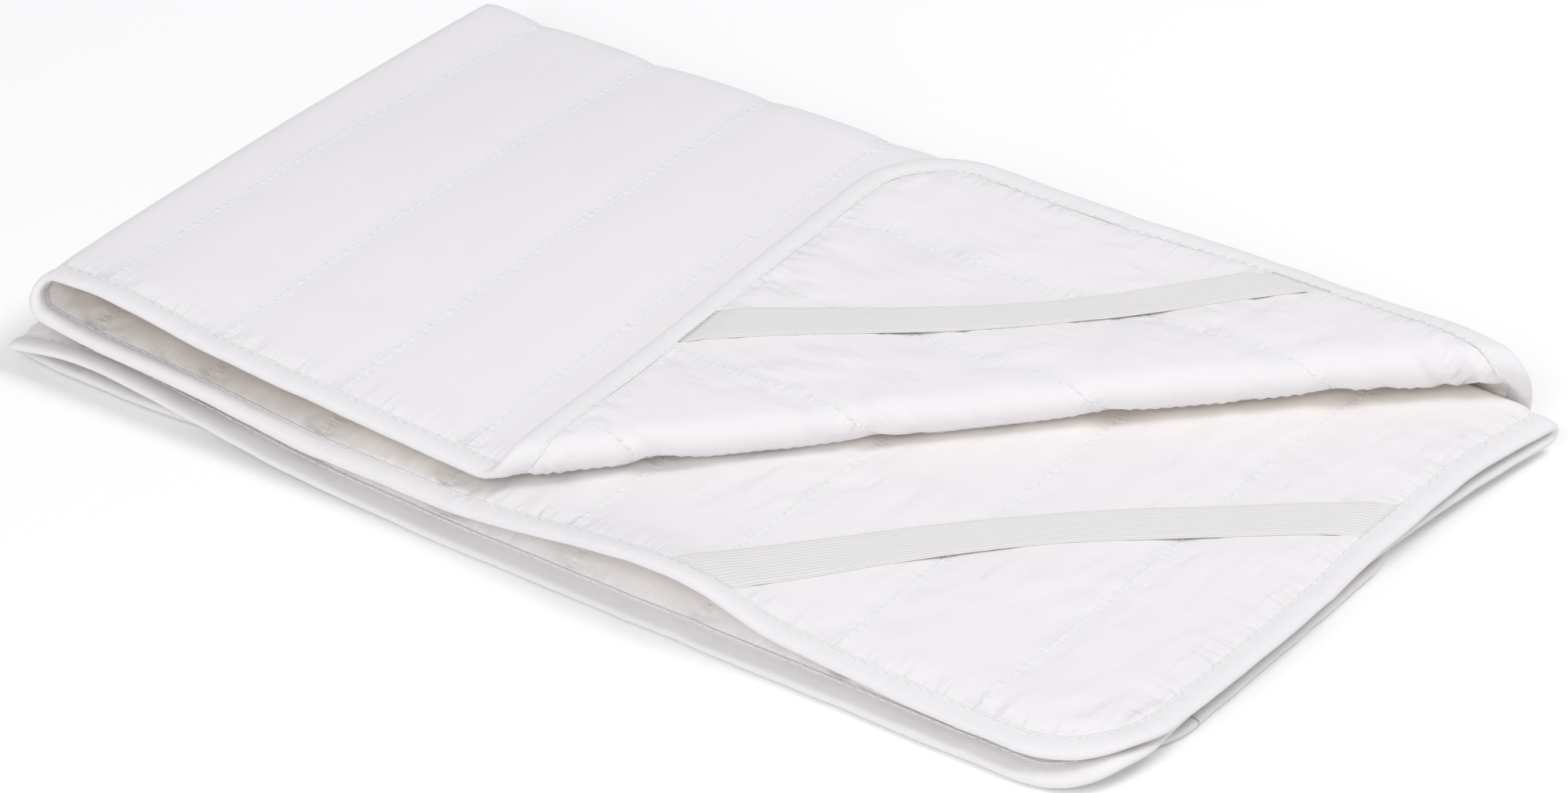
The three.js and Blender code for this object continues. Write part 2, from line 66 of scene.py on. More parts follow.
# %% [markdown]
# ## Heights of the four folded quarters
# A quarter doesn't lie quite flat: it rises where it rolls over into a fold and sinks where nothing
# holds it up. Each row below is a section across the folded pad, and its columns are the heights of
# the middle of the cloth from the front edge to the back. A curve that never overshoots its stops
# joins them, so a sag stays a sag and no layer is pushed through the next one.

# %% Section tables
ACROSS = [-178.0, -150.0, 0.0, 85.0, 158.0]
BACK = ACROSS[-1]
#    x, edge, front, middle, far, back
OUTER_TOP = [
    (-300, 43, 43, 36, 30, 24.8),
    (-262, 47, 45, 37.5, 30.4, 24.6),
    (-200, 39.5, 39, 36, 31.4, 26.2),
    (-120, 32, 34, 34.5, 33, 31),
    (-40, 28, 30, 32, 33, 33),
    (60, 27, 28, 30, 31, 32),
    (150, 26, 27, 28.5, 30, 31),
    (310, 24, 24.5, 26, 26.5, 27),
]
INNER_TOP = [
    (-300, 32, 29, 23, 20, 17.8),
    (-262, 26.5, 24.5, 22, 19.5, 17.8),
    (-200, 23, 22, 21, 19.5, 18),
    (-120, 18, 20, 21, 20.5, 19),
    (-60, 18, 20, 21, 21, 20),
    (70, 31, 26, 22, 21, 20),
    (130, 18.5, 20, 21.5, 20.5, 20),
    (220, 13.4, 18.6, 20, 20, 18.5),
    (285, 13.4, 18.6, 19.6, 20.5, 17),
    (310, 12.8, 17.2, 18.4, 19, 11),
]
INNER_BOTTOM = [
    (-300, 12, 11.5, 11, 11, 11.3),
    (-262, 16, 14, 12, 11.2, 11.3),
    (-200, 10, 12, 12, 11, 10.5),
    (-120, 4, 11.4, 12.4, 11.4, 10.5),
    (-40, 2.4, 11.4, 12.6, 11.6, 10.5),
    (150, 2.4, 11.4, 12.6, 11.6, 10.5),
    (285, 2.4, 11.4, 12.4, 11, 9.4),
    (310, 4, 10.5, 11, 7, 3.2),
]
BOTTOM = CROWN
print("sections:", len(OUTER_TOP), "outer,", len(INNER_TOP), "inner top,", len(INNER_BOTTOM), "inner bottom")


# %% Curves that join the stops
def smooth(t):
    t = np.clip(t, 0, 1)
    return t * t * (3 - 2 * t)


def lerp(a, b, t):
    return a + (b - a) * t


def through(stops, values, at):
    """A smooth curve through values at rising stops, which overshoots none of them."""
    stops = np.asarray(stops, float)[:, None]
    values = np.asarray(values, float).reshape(len(stops), -1)
    step = np.diff(stops, axis=0)
    rise = np.diff(values, axis=0) / step
    before, after = 2 * step[1:] + step[:-1], step[1:] + 2 * step[:-1]
    same_way = rise[:-1] * rise[1:] > 0
    first, second = np.where(same_way, rise[:-1], 1), np.where(same_way, rise[1:], 1)
    between = np.where(same_way, (before + after) / (before / first + after / second), 0)
    slope = np.vstack([rise[:1], between, rise[-1:]])
    place = np.clip(at, stops[0, 0], stops[-1, 0])
    i = np.clip(np.searchsorted(stops[:, 0], place) - 1, 0, len(stops) - 2)
    column = np.arange(values.shape[1]) if values.shape[1] > 1 else 0
    gap = step[i, 0]
    t = (place - stops[i, 0]) / gap
    return (
        (1 + 2 * t) * (1 - t) ** 2 * values[i, column]
        + t * (1 - t) ** 2 * gap * slope[i, column]
        + t**2 * (3 - 2 * t) * values[i + 1, column]
        - t**2 * (1 - t) * gap * slope[i + 1, column]
    )


def height_of(sections, x, y):
    """Height of a quarter's middle surface over the points x, y."""
    columns = np.array(sections, float).T
    return through(ACROSS, [through(columns[0], column, x) for column in columns[1:]], y)


print("top quarter over the middle:", float(height_of(OUTER_TOP, np.zeros(1), np.zeros(1))[0]), "mm")

# %% [markdown]
# ## Folding in quarters
# Fold one runs across the cloth at u = 0 and fold two along it at v = 0. A fold is half a turn of a
# circle whose length on the cloth stays what it was, and past it the cloth runs on flat. A bend
# modifier could do one fold, but not two nested ones with layers of different heights, so the place of
# each point is worked out directly. Small tables say how far the free edges stand from exact folding.

# %% Sizes of the two folds
FOLD_ONE_X, FOLD_TWO_Y = -LENGTH / 4, WIDTH / 4
FOLD_ONE_TOP, FOLD_ONE_BOTTOM = -288.0, -295.0
FOLD_ONE_CHANGE = 20.0  # |v| within which fold one goes over from one radius to the other
FOLD_ONE_STEP = [(-350, 8), (-60, 4), (60, 4), (350, 0)]
STEP_RUN = 160.0
BACK_FROM, BACK_RUN = -60.0, 160.0  # where the sections shift back to meet fold two
FRONT_FROM, FRONT_RUN = 60.0, 200.0  # how far in a front edge's shift reaches
RIGHT_FROM, RIGHT_RUN = 60.0, 200.0  # and a right edge's
BOTTOM_CHANGE = 90.0  # |u| within which one bottom quarter's front edge goes over to the other's
QUARTERS = ("outer top", "inner top", "inner bottom", "outer bottom")
FRONT_EDGE = {
    "inner bottom": [(-300, 0), (0, -4), (300, -5)],
    "outer bottom": [(-300, -13), (-200, -7), (-100, 8), (300, 10)],
}
RIGHT_EDGE = {
    "outer top": [(-175, -5), (-50, -4), (50, 3), (110, 3), (175, -6)],
    "inner top": [(-175, 7), (-110, 10), (-40, 11), (40, 8), (100, 8), (175, 14)],
    "inner bottom": [(-175, 9), (-120, 2), (-40, 0), (50, 2), (110, 6), (175, 14)],
    "outer bottom": [(-175, 2), (30, 1), (90, -12), (140, -12), (175, -6)],
}


def quarter_of(u, v):
    return np.where(v < 0, np.where(u < 0, 1, 0), np.where(u < 0, 2, 3))


def edge_shift(rows, at):
    stops, values = zip(*rows)
    return through(stops, values, at)


print("the point (100, 100) on the cloth is in the", QUARTERS[int(quarter_of(100, 100))], "quarter")

# %% [markdown]
# ## Where a point of the cloth ends up
# Fold one is worked out first, then fold two over both of its layers, and last the small shifts of
# the free edges. Each step only needs the tables above, so one function can take any point there.


# %% Fold the flat cloth
def folded(u, v):
    """Where flat points lie once folded in quarters, and where fold two would have led them."""
    y = np.minimum(FOLD_TWO_Y - np.abs(v), BACK)
    one_top, one_bottom = np.array([FOLD_ONE_TOP]), np.array([FOLD_ONE_BOTTOM])
    top_radius = (height_of(OUTER_TOP, one_top, y) - height_of(INNER_TOP, one_top, y)) / 2
    bottom_radius = (height_of(INNER_BOTTOM, one_bottom, y) - BOTTOM) / 2
    radius = lerp(top_radius, bottom_radius, smooth((v + FOLD_ONE_CHANGE) / (2 * FOLD_ONE_CHANGE)))
    step = edge_shift(FOLD_ONE_STEP, v)
    arc, reach = np.pi * radius / 2, np.abs(u)
    in_fold_one = reach < arc
    turn = np.where(in_fold_one, (1 - u / arc) * np.pi / 2, np.where(u > 0, 0, np.pi))
    run = FOLD_ONE_X + radius + reach - arc + step * smooth((arc + STEP_RUN - reach) / STEP_RUN)
    x = np.where(in_fold_one, FOLD_ONE_X + step + radius * (1 - np.sin(turn)), run)

    def upper(at):
        a, b = height_of(OUTER_TOP, x, at), height_of(INNER_TOP, x, at)
        return (a + b) / 2 + (a - b) / 2 * np.cos(turn)

    def lower(at):
        c = height_of(INNER_BOTTOM, x, at)
        return (BOTTOM + c) / 2 - (c - BOTTOM) / 2 * np.cos(turn)

    back = np.full_like(x, BACK)
    high, low = upper(back), lower(back)
    bend = (high - low) / 2
    axis = FOLD_TWO_Y - (height_of(OUTER_TOP, x, back) - BOTTOM) / 2
    bend_arc = np.pi * bend / 2
    in_fold_two = np.abs(v) < bend_arc
    run_y = axis - np.abs(v) + bend_arc
    at = np.minimum(run_y + (BACK - axis) * smooth((run_y - BACK_FROM) / BACK_RUN), BACK)
    around = np.clip(v / bend, -np.pi / 2, np.pi / 2)
    py = np.where(in_fold_two, axis + bend * np.cos(around), run_y)
    level = np.where(v < 0, upper(at), lower(at))
    pz = np.where(in_fold_two, (high + low) / 2 - bend * np.sin(around), level)
    quarter = quarter_of(u, v)
    out = np.zeros_like(x)
    for number, name in enumerate(QUARTERS):
        here = quarter == number
        out[here] = edge_shift(RIGHT_EDGE[name], py[here])
    inner = edge_shift(FRONT_EDGE["inner bottom"], x)
    outer = edge_shift(FRONT_EDGE["outer bottom"], x)
    front = lerp(inner, outer, smooth((u + BOTTOM_CHANGE) / (2 * BOTTOM_CHANGE)))
    front = front * smooth((FRONT_FROM - py) / FRONT_RUN)
    py = py + np.where(v > 0, front, 0)
    px = x + out * smooth((x - RIGHT_FROM) / RIGHT_RUN)
    return px, py, pz, axis + bend_arc + v


free_corner = folded(np.array([LENGTH / 2]), np.array([WIDTH / 2]))[:3]
print("the bottom quarter's free corner folds to", [round(float(c[0]), 1) for c in free_corner], "mm")

# %% [markdown]
# ## Turning the corner back
# The top quarter's front corner is rolled over a crease at 45 degrees, so its side edge comes to lie
# along the back edge and shows the underside. The crease is one more half circle. Past it the cloth
# settles onto the layer below, with a soft puff behind the fold, because wadding never folds sharp.

# %% The turned corner
CREASE = [(0, 135), (0.2, 131), (0.4, 126.5), (0.6, 122), (0.8, 120.5), (1, 126)]
CREASE_RADIUS_FRONT, CREASE_RADIUS_BACK = 6.4, 7.4
CREASE_START, CREASE_END = -225.0, 475.0
LEVEL_OUT = 20.0  # how far past the crease the bend of fold two has levelled out
TURNED_GAP = 1.0  # between the turned corner and what it lies on
SETTLE = 45.0  # how soon behind the crease the turned corner settles
LOFT_HEIGHT, LOFT_X, LOFT_Y = 4.5, 40.0, -10.0
LOFT_LONG, LOFT_WIDE, LOFT_RUN = 90.0, 70.0, 60.0
DROOP_FROM, DROOP_SAG = 165.0, 0.012  # of the turned edge over the back
ROOT_TWO = math.sqrt(2)


def turned(x, y, z, unrolled, u):
    """The folded points with the outer top quarter's front corner turned back over its crease."""
    along = np.clip((x + unrolled - CREASE_START) / (CREASE_END - CREASE_START), 0, 1)
    crease = edge_shift(CREASE, along)
    inner = lerp(CREASE_RADIUS_FRONT, CREASE_RADIUS_BACK, along)
    arc = np.pi * inner
    past = (x - unrolled - crease) / ROOT_TWO + arc / 2
    moving = (u > 0) & (past > 0)
    level = smooth(past / LEVEL_OUT)
    depth = (height_of(OUTER_TOP, x, y) - z) * (1 - level)
    turn = np.clip(past / inner, 0, np.pi)
    foot_x = x - past / ROOT_TWO
    foot_y = lerp(y, unrolled, level) + past / ROOT_TWO
    beyond = np.maximum(past - arc, 0)
    out = inner * np.sin(turn) - beyond
    land_x, land_y = foot_x + out / ROOT_TWO, foot_y - out / ROOT_TWO
    rolling = height_of(OUTER_TOP, foot_x, foot_y) + inner * (1 - np.cos(turn)) - depth
    apart = 2 * CROWN + TURNED_GAP
    rest = apart + (2 * inner - apart) * np.exp(-((beyond / SETTLE) ** 2))
    off_x, off_y = (land_x - LOFT_X) / LOFT_LONG, (land_y - LOFT_Y) / LOFT_WIDE
    loft = LOFT_HEIGHT * np.exp(-(off_x**2) - off_y**2) * smooth(beyond / LOFT_RUN)
    droop = DROOP_SAG * np.maximum(land_y - DROOP_FROM, 0) ** 2
    under = height_of(OUTER_TOP, land_x, np.minimum(land_y, BACK))
    lying = under + rest + loft - droop
    new_z = np.where(beyond > 0, lying, rolling)
    return np.where(moving, land_x, x), np.where(moving, land_y, y), np.where(moving, new_z, z)


crease_cloth = [round(math.pi * radius, 1) for radius in (CREASE_RADIUS_FRONT, CREASE_RADIUS_BACK)]
print("the crease takes up", crease_cloth, "mm of cloth at its front and back ends")

# %% [markdown]
# ## From the flat cloth to the folded pad
# `place` carries any point u, v, w into the fold. The way through the cloth is found from two short
# steps along it, so both faces, the stitches and the elastic all follow the same surface.

# %% Carry points into the fold
CENTRE = np.array([4.3, -3.9, 0.0])
HALF_STEP = 0.5


def middle(u, v):
    return np.stack(turned(*folded(u, v), u), axis=-1)


def surface(u, v):
    """The middle surface's points and the directions through the cloth."""
    u, v = np.asarray(u, float), np.asarray(v, float)
    along_u = middle(u + HALF_STEP, v) - middle(u - HALF_STEP, v)
    along_v = middle(u, v + HALF_STEP) - middle(u, v - HALF_STEP)
    across = np.cross(along_u, along_v)
    return middle(u, v), across / np.linalg.norm(across, axis=-1, keepdims=True)


def place(u, v, w):
    point, through_cloth = surface(u, v)
    point = point + through_cloth * np.asarray(w, float)[..., None] - CENTRE
    point[..., 2] = np.maximum(point[..., 2], 0)
    return point


turned_tip = place(np.array([LENGTH / 2]), np.array([-WIDTH / 2]), np.zeros(1))[0]
print("the turned corner's tip lies at", turned_tip.round(1), "mm")

# %% [markdown]
# ## Quilting
# Between two rows of stitches the wadding pushes the faces apart into a soft crown, steep beside the
# stitches and nearly flat in the middle. At the edge the tape squeezes the pad the same way. The
# thickness is a function of the flat cloth, so a channel keeps its crown wherever the fold takes it.

# %% Thickness of the pad
PUFF_RUN, PUFF_POWER = 32.0, 3.1
EDGE_RUN, EDGE_POWER, EDGE_START = 12.0, 2.4, 1.33
puff_rng = np.random.default_rng(11)
PUFF_LEAST, PUFF_MOST = 0.9, 1.03
channel_puff = puff_rng.uniform(PUFF_LEAST, PUFF_MOST, len(SEAMS) + 1)


def inset_of(u, v):
    """How far inside the cloth's outline flat points lie."""
    over_u = np.abs(u) - (LENGTH / 2 - CORNER_RADIUS)
    over_v = np.abs(v) - (WIDTH / 2 - CORNER_RADIUS)
    outside = np.hypot(np.maximum(over_u, 0), np.maximum(over_v, 0))
    return CORNER_RADIUS - np.where(outside > 0, outside, np.maximum(over_u, over_v))


def to_seam(u):
    return np.min(np.abs(np.asarray(u)[..., None] - SEAMS), axis=-1)


def half_thickness(u, v):
    puff = 1 - (1 - np.clip(to_seam(u) / PUFF_RUN, 0, 1)) ** PUFF_POWER
    full = lerp(SEAM, CROWN * channel_puff[np.searchsorted(SEAMS, u)], puff)
    squeeze = 1 - (1 - np.clip((inset_of(u, v) - BINDING_WIDTH) / EDGE_RUN, 0, 1)) ** EDGE_POWER
    return lerp(EDGE_START, full, squeeze)


mid_channel = half_thickness(np.array([0.0]), np.array([-100.0]))[0]
print("half thickness mid channel:", round(float(mid_channel), 2), "mm")

# %% [markdown]
# ## Mesh helpers
# Each piece is one mesh built from numbered points and faces. Its UV map holds the place on the flat
# cloth in metres, which is all that the woven materials need.


# %% Helpers that make a piece
def make_piece(name, points, faces, cut):
    """A smooth-shaded mesh object from points in millimetres, with the flat cut as its UV map."""
    mesh = bpy.data.meshes.new(name)
    faces = np.asarray(faces, int)
    mesh.vertices.add(len(points))
    mesh.vertices.foreach_set("co", (np.asarray(points) * MM).astype(np.float32).ravel())
    mesh.loops.add(faces.size)
    mesh.loops.foreach_set("vertex_index", faces.ravel())
    mesh.polygons.add(len(faces))
    mesh.polygons.foreach_set("loop_start", np.arange(0, faces.size, faces.shape[1]))
    mesh.update(calc_edges=True)
    mesh.polygons.foreach_set("use_smooth", np.ones(len(faces), bool))
    uv = mesh.uv_layers.new(name="cut")
    uv.data.foreach_set("uv", (np.asarray(cut)[faces.ravel()] * MM).astype(np.float32).ravel())
    mesh.validate()
    piece = bpy.data.objects.new(name, mesh)
    bpy.context.scene.collection.objects.link(piece)
    print(name, len(points), "points,", len(faces) * (faces.shape[1] - 2), "triangles")
    return piece


def add_value(piece, name, values):
    layer = piece.data.attributes.new(name, "FLOAT", "POINT")
    layer.data.foreach_set("value", np.asarray(values, np.float32))


def joined(*parts):
    """Several (points, faces, cut) sets as one."""
    points, faces, cut, start = [], [], [], 0
    for p, f, c in parts:
        points.append(p)
        faces.append(np.asarray(f) + start)
        cut.append(c)
        start += len(p)
    return np.concatenate(points), np.concatenate(faces), np.concatenate(cut)


def strip(first, second):
    """Quads between two closed loops of the same count."""
    a, b = np.asarray(first), np.asarray(second)
    return np.stack([a, np.roll(a, -1), np.roll(b, -1), b], axis=1)


def grid_quads(number):
    """Quads between the numbered points of a grid."""
    corners = [number[:-1, :-1], number[1:, :-1], number[1:, 1:], number[:-1, 1:]]
    return np.stack(corners, -1).reshape(-1, 4)


def grid_border(number):
    """The numbers along the outside of a grid, in order."""
    return np.concatenate([number[:-1, 0], number[-1, :-1], number[:0:-1, -1], number[0, :0:-1]])


print("quads in a grid of three points by three:", len(grid_quads(np.arange(9).reshape(3, 3))))

# %% [markdown]
# ## The outline
# The tape, its stitches and the puckers all follow the cloth's outline, a rectangle with rounded
# corners. A curve object could be traced for each of them. Here one set of even steps serves them
# all: each step knows a centre and its way out from there, so any line further in is one short sum.

# %% Points round the outline
RIM_STEP = 1.6


def outline():
    """Rim points round the cloth's outline, evenly spaced, with their distance along it."""
    core_u, core_v = LENGTH / 2 - CORNER_RADIUS, WIDTH / 2 - CORNER_RADIUS
    straight = {0: 2 * core_v, 1: 2 * core_u}
    rows = []
    for corner in range(4):
        sign_u, sign_v = (1, -1, -1, 1)[corner], (1, 1, -1, -1)[corner]
        turn = np.linspace(0, np.pi / 2, round(CORNER_RADIUS * np.pi / 2 / RIM_STEP) + 1)
        angle = corner * np.pi / 2 + turn
        out = np.stack([np.cos(angle), np.sin(angle)], -1)
        core = np.tile([sign_u * core_u, sign_v * core_v], (len(angle), 1))
        rows.append(np.hstack([core, out]))
        length = straight[(corner + 1) % 2]
        t = np.linspace(0, 1, round(length / RIM_STEP) + 1)[1:-1, None]
        next_core = np.array([sign_u * core_u, sign_v * core_v]) + out[-1][::-1] * [-1, 1] * length * t
        rows.append(np.hstack([next_core, np.tile(out[-1], (len(t), 1))]))
    rows = np.concatenate(rows)
    edge = rows[:, :2] + rows[:, 2:] * CORNER_RADIUS
    step = np.linalg.norm(np.diff(edge, axis=0, append=edge[:1]), axis=1)
    return rows.T, np.concatenate([[0], np.cumsum(step)[:-1]]), step.sum()


rim, rim_along, rim_length = outline()
print("outline", round(rim_length), "mm in", rim.shape[1], "steps")


# %% Step in from the outline
def rim_of(u, v):
    """The corner centre that belongs to each rim point, and its way out from there."""
    core_u = np.clip(u, CORNER_RADIUS - LENGTH / 2, LENGTH / 2 - CORNER_RADIUS)
    core_v = np.clip(v, CORNER_RADIUS - WIDTH / 2, WIDTH / 2 - CORNER_RADIUS)
    far = np.hypot(u - core_u, v - core_v)
    return core_u, core_v, (u - core_u) / far, (v - core_v) / far


def at_inset(rim, inset):
    core_u, core_v, out_u, out_v = rim
    room = CORNER_RADIUS - inset
    return core_u + out_u * room, core_v + out_v * room


tape_u, tape_v = at_inset(rim, BINDING_WIDTH)
print("the tape's inner edge reaches", round(float(tape_u.max())), "by", round(float(tape_v.max())), "mm")

# %% [markdown]
# ## Puckers and creases
# Sewing takes up a little cloth, so short puckers run in from the tape and out from every row of
# stitches, and longer creases cross the channels where the folded pad is pulled. They could be
# painted as bump alone, but the larger ones catch light along their whole length. Here each one is a
# soft trough between two flat points. Fixed seeds draw them, so they are the same at every run.

# %% How the puckers vary
crease_rng = np.random.default_rng(23)
UNEVEN = (0.5, 1.5)  # how the space from one to the next varies
EDGE_SLANT, SEAM_END_SLANT, SEAM_SLANT = 0.32, 0.12, 0.45  # how far they stray, in radians
SEAM_END_FAN = (-0.85, -0.42, 0.42, 0.85)
SEAM_END_LENGTHS, SEAM_LENGTHS, LOOSE_LENGTHS = (12, 27), (7, 19), (22, 55)
EDGE_WIDTHS, SEAM_END_WIDTH, SEAM_WIDTH, LOOSE_WIDTHS = (1.9, 3.0), 2.3, 2.6, (3.6, 6.5)
EDGE_SHORTEST, EDGE_MOSTLY_SHORT = 0.35, 1.6
SEAM_START, SEAM_STOP = 24, 30  # how far in from the edge, and the v just past fold two
LOOSE_U, LOOSE_V, LOOSE_SLANTS = (-570, 570), (-330, 0), (0.5, 1.35)


def ray(u, v, way, length, width, deep):
    """One crease from a flat point, along the angle way."""
    return (u, v, u + length * math.cos(way), v + length * math.sin(way), width, deep)


print("a crease is", len(ray(0, 0, 0, 10, 2, 1)), "numbers: where it starts and ends, width and depth")


# %% Puckers along the edge and at the ends of the seams
def edge_puckers(spacing, reach, deep):
    """Puckers that run in from the tape, all round the outline."""
    rows, at = [], 0.0
    while at < rim_length:
        k = int(np.searchsorted(rim_along, at)) % len(rim_along)
        core_u, core_v, out_u, out_v = rim[:, k]
        way = math.atan2(-out_v, -out_u) + crease_rng.normal(0, EDGE_SLANT)
        start_u, start_v = at_inset(rim[:, k], BINDING_WIDTH - 1)
        length = reach * crease_rng.uniform(EDGE_SHORTEST, 1) ** EDGE_MOSTLY_SHORT
        width, depth = crease_rng.uniform(*EDGE_WIDTHS), deep * crease_rng.uniform(0.4, 1)
        rows.append(ray(start_u, start_v, way, length, width, depth))
        at += spacing * crease_rng.uniform(*UNEVEN)
    return rows


def seam_end_puckers(deep):
    """A small fan of puckers where each row of quilting meets the tape."""
    rows = []
    for seam in SEAMS:
        for side in (-1, 1):
            for lean in SEAM_END_FAN:
                way = -side * np.pi / 2 + lean + crease_rng.normal(0, SEAM_END_SLANT)
                length = crease_rng.uniform(*SEAM_END_LENGTHS)
                start = side * (WIDTH / 2 - BINDING_WIDTH)
                depth = deep * crease_rng.uniform(0.5, 1)
                rows.append(ray(seam, start, way, length, SEAM_END_WIDTH, depth))
    return rows


print("each row of quilting ends in a fan of", len(SEAM_END_FAN), "puckers")


# %% Puckers beside the seams and loose creases
def seam_puckers(low_u, high_u, spacing, deep):
    """Short puckers out of both sides of each row of quilting, over the half that can be seen."""
    rows = []
    for seam in SEAMS[(SEAMS > low_u) & (SEAMS < high_u)]:
        for side in (-1, 1):
            v = -WIDTH / 2 + SEAM_START
            while v < SEAM_STOP:
                way = (0 if side > 0 else np.pi) + crease_rng.normal(0, SEAM_SLANT)
                length = crease_rng.uniform(*SEAM_LENGTHS)
                depth = deep * crease_rng.uniform(0.25, 1)
                rows.append(ray(seam + side, v, way, length, SEAM_WIDTH, depth))
                v += spacing * crease_rng.uniform(*UNEVEN)
    return rows


def loose_creases(count, deep):
    """Longer creases that run across the channels and slant from one row of stitches to the next."""
    rows = []
    for _ in range(count):
        u, v = crease_rng.uniform(*LOOSE_U), crease_rng.uniform(*LOOSE_V)
        slant = crease_rng.choice([-1, 1]) * crease_rng.uniform(*LOOSE_SLANTS)
        length = crease_rng.uniform(*LOOSE_LENGTHS)
        width, depth = crease_rng.uniform(*LOOSE_WIDTHS), deep * crease_rng.uniform(0.3, 1)
        rows.append(ray(u, v, slant, length, width, depth))
    return rows


print("loose creases are", LOOSE_LENGTHS[0], "to", LOOSE_LENGTHS[1], "mm long")

# %% Draw the puckers and creases of both sides
TOP_CREASES = edge_puckers(14.0, 46.0, 1.0) + seam_end_puckers(1.0)
TOP_CREASES += seam_puckers(-60, 560, 12.0, 0.28) + loose_creases(30, 0.4)
UNDER_CREASES = edge_puckers(9.5, 42.0, 1.15) + seam_end_puckers(1.2)
UNDER_CREASES += seam_puckers(-570, 570, 10.0, 0.8) + loose_creases(170, 1.35)
print(len(TOP_CREASES), "creases on the sleeping side,", len(UNDER_CREASES), "on the underside")

# %% [markdown]
# ## Where the elastics pull
# An elastic is sewn down at two places only, and it draws the cloth together there. The gathers could
# be pinched by a cloth simulation, but it would move the edge away from the CAD pad. So each sewn end
# gets a loose fan of the same soft creases, which point the way the cloth is drawn in.

# %% Where the elastics are sewn on
# name, signs of u and v, distance from the corner on the long and the short edge, bow away from it
BANDS = [
    ("elastic_1", 1, -1, 204.0, 232.0, 13.0),
    ("elastic_2", -1, -1, 226.0, 239.0, 17.0),
    ("elastic_3", -1, 1, 205.0, 205.0, 0.0),
    ("elastic_4", 1, 1, 240.0, 240.0, 0.0),
]
print("elastics, straight from end to end:", [round(math.hypot(row[3], row[4])) for row in BANDS], "mm")

# %% Creases that the elastics pull
pull_rng = np.random.default_rng(41)
PULLS_AT_AN_END, PULL_SPREAD, PULL_SLANT = 6, 34.0, 0.5
PULL_STARTS, PULL_LENGTHS, PULL_WIDTHS = (14, 74), (24, 48), (3.0, 4.2)


def gathered_at(end_u, end_v, inward, deep):
    """A loose fan of creases round a sewn end, which points the way the cloth is drawn in."""
    rows = []
    for _ in range(PULLS_AT_AN_END):
        along, across = pull_rng.uniform(*PULL_STARTS), pull_rng.uniform(-PULL_SPREAD, PULL_SPREAD)
        start_u = end_u + along * math.cos(inward) - across * math.sin(inward)
        start_v = end_v + along * math.sin(inward) + across * math.cos(inward)
        way = inward + pull_rng.normal(0, PULL_SLANT)
        length, width = pull_rng.uniform(*PULL_LENGTHS), pull_rng.uniform(*PULL_WIDTHS)
        rows.append(ray(start_u, start_v, way, length, width, deep * pull_rng.uniform(0.6, 1)))
    return rows


def elastic_creases(deep):
    """The fans at both ends of every elastic."""
    rows = []
    for _, along, across, long, short, _ in BANDS:
        corner_u, corner_v = along * LENGTH / 2, across * WIDTH / 2
        rows += gathered_at(corner_u - along * long, corner_v, -across * np.pi / 2, deep)
        rows += gathered_at(corner_u, corner_v - across * short, np.pi if along > 0 else 0.0, deep)
    return rows


UNDER_CREASES += elastic_creases(1.6)
print("with the elastics' pulls,", len(UNDER_CREASES), "creases on the underside")
# %% [markdown]
# ## How a crease sinks the cloth
# Real cloth that is pushed down in one line stands up a little beside it. So each crease is a valley
# with a broad low ridge on both sides, and it fades out towards its far end.

# %% Depth of the creases
VALLEY, RIDGE, RIDGE_WIDE, CREASE_REACH = 1.7, 0.7, 2.1, 3.4
FADE_IN, FADE_OUT = 3.0, 0.7


def crease_depth(u, v, creases):
    """How far soft creases let the face sink; a low ridge stands on both sides of each."""
    depth = np.zeros(np.shape(u))
    order = np.argsort(u)
    sorted_u = u[order]
    for start_u, start_v, end_u, end_v, width, deep in creases:
        reach = CREASE_REACH * width
        low = np.searchsorted(sorted_u, min(start_u, end_u) - reach)
        high = np.searchsorted(sorted_u, max(start_u, end_u) + reach)
        near = order[low:high]
        away_u, away_v = u[near] - start_u, v[near] - start_v
        run_u, run_v = end_u - start_u, end_v - start_v
        length = math.hypot(run_u, run_v)
        along = (away_u * run_u + away_v * run_v) / length
        aside = (away_u * run_v - away_v * run_u) / length / width
        fade = smooth((along + FADE_IN) / (2 * FADE_IN)) * smooth((length - along) / (FADE_OUT * length))
        valley = VALLEY * np.exp(-(aside**2)) - RIDGE * np.exp(-((aside / RIDGE_WIDE) ** 2))
        depth[near] += deep * fade * valley * (np.abs(aside) < CREASE_REACH)
    return depth


one_crease = crease_depth(np.array([10.0]), np.array([0.0]), [ray(0, 0, 0, 40, 3, 1)])
print("a crease of depth 1 sinks the cloth by", round(float(one_crease[0]), 2), "mm in its middle")

# %% [markdown]
# ## The pad
# The pad's two faces are one grid of quads each, finer beside the stitches and in the folds, where it
# turns quickest. The corner cells are pressed into the rounded corner. Rings carry the faces on
# under the binding, where they meet in a thin tongue, so that the pad is one closed body.

# %% Lines of the pad's grid
FULL_INSET = 20.0
BESIDE_SEAM = np.array([1.4, 3.6, 7.0, 11.0, 15.0, 19.0, 23.0, 27.0, 31.0])
IN_FOLD_ONE = np.array([2.0, 4.0, 6.2, 8.6, 11.2, 14.0])
IN_FOLD_TWO = np.array([1.2, 2.5, 4.0, 5.6, 7.6, 10.0, 13.0, 16.5, 20.5])
FOLD_ONE_SPAN = 22.0  # so near to fold one only its own lines are kept
NEAR_THE_ENDS = (560, -560, 570, -570)
ROW_TOP, ROW_BOTTOM = 4.4, 9.0  # closer together on the half that can be seen


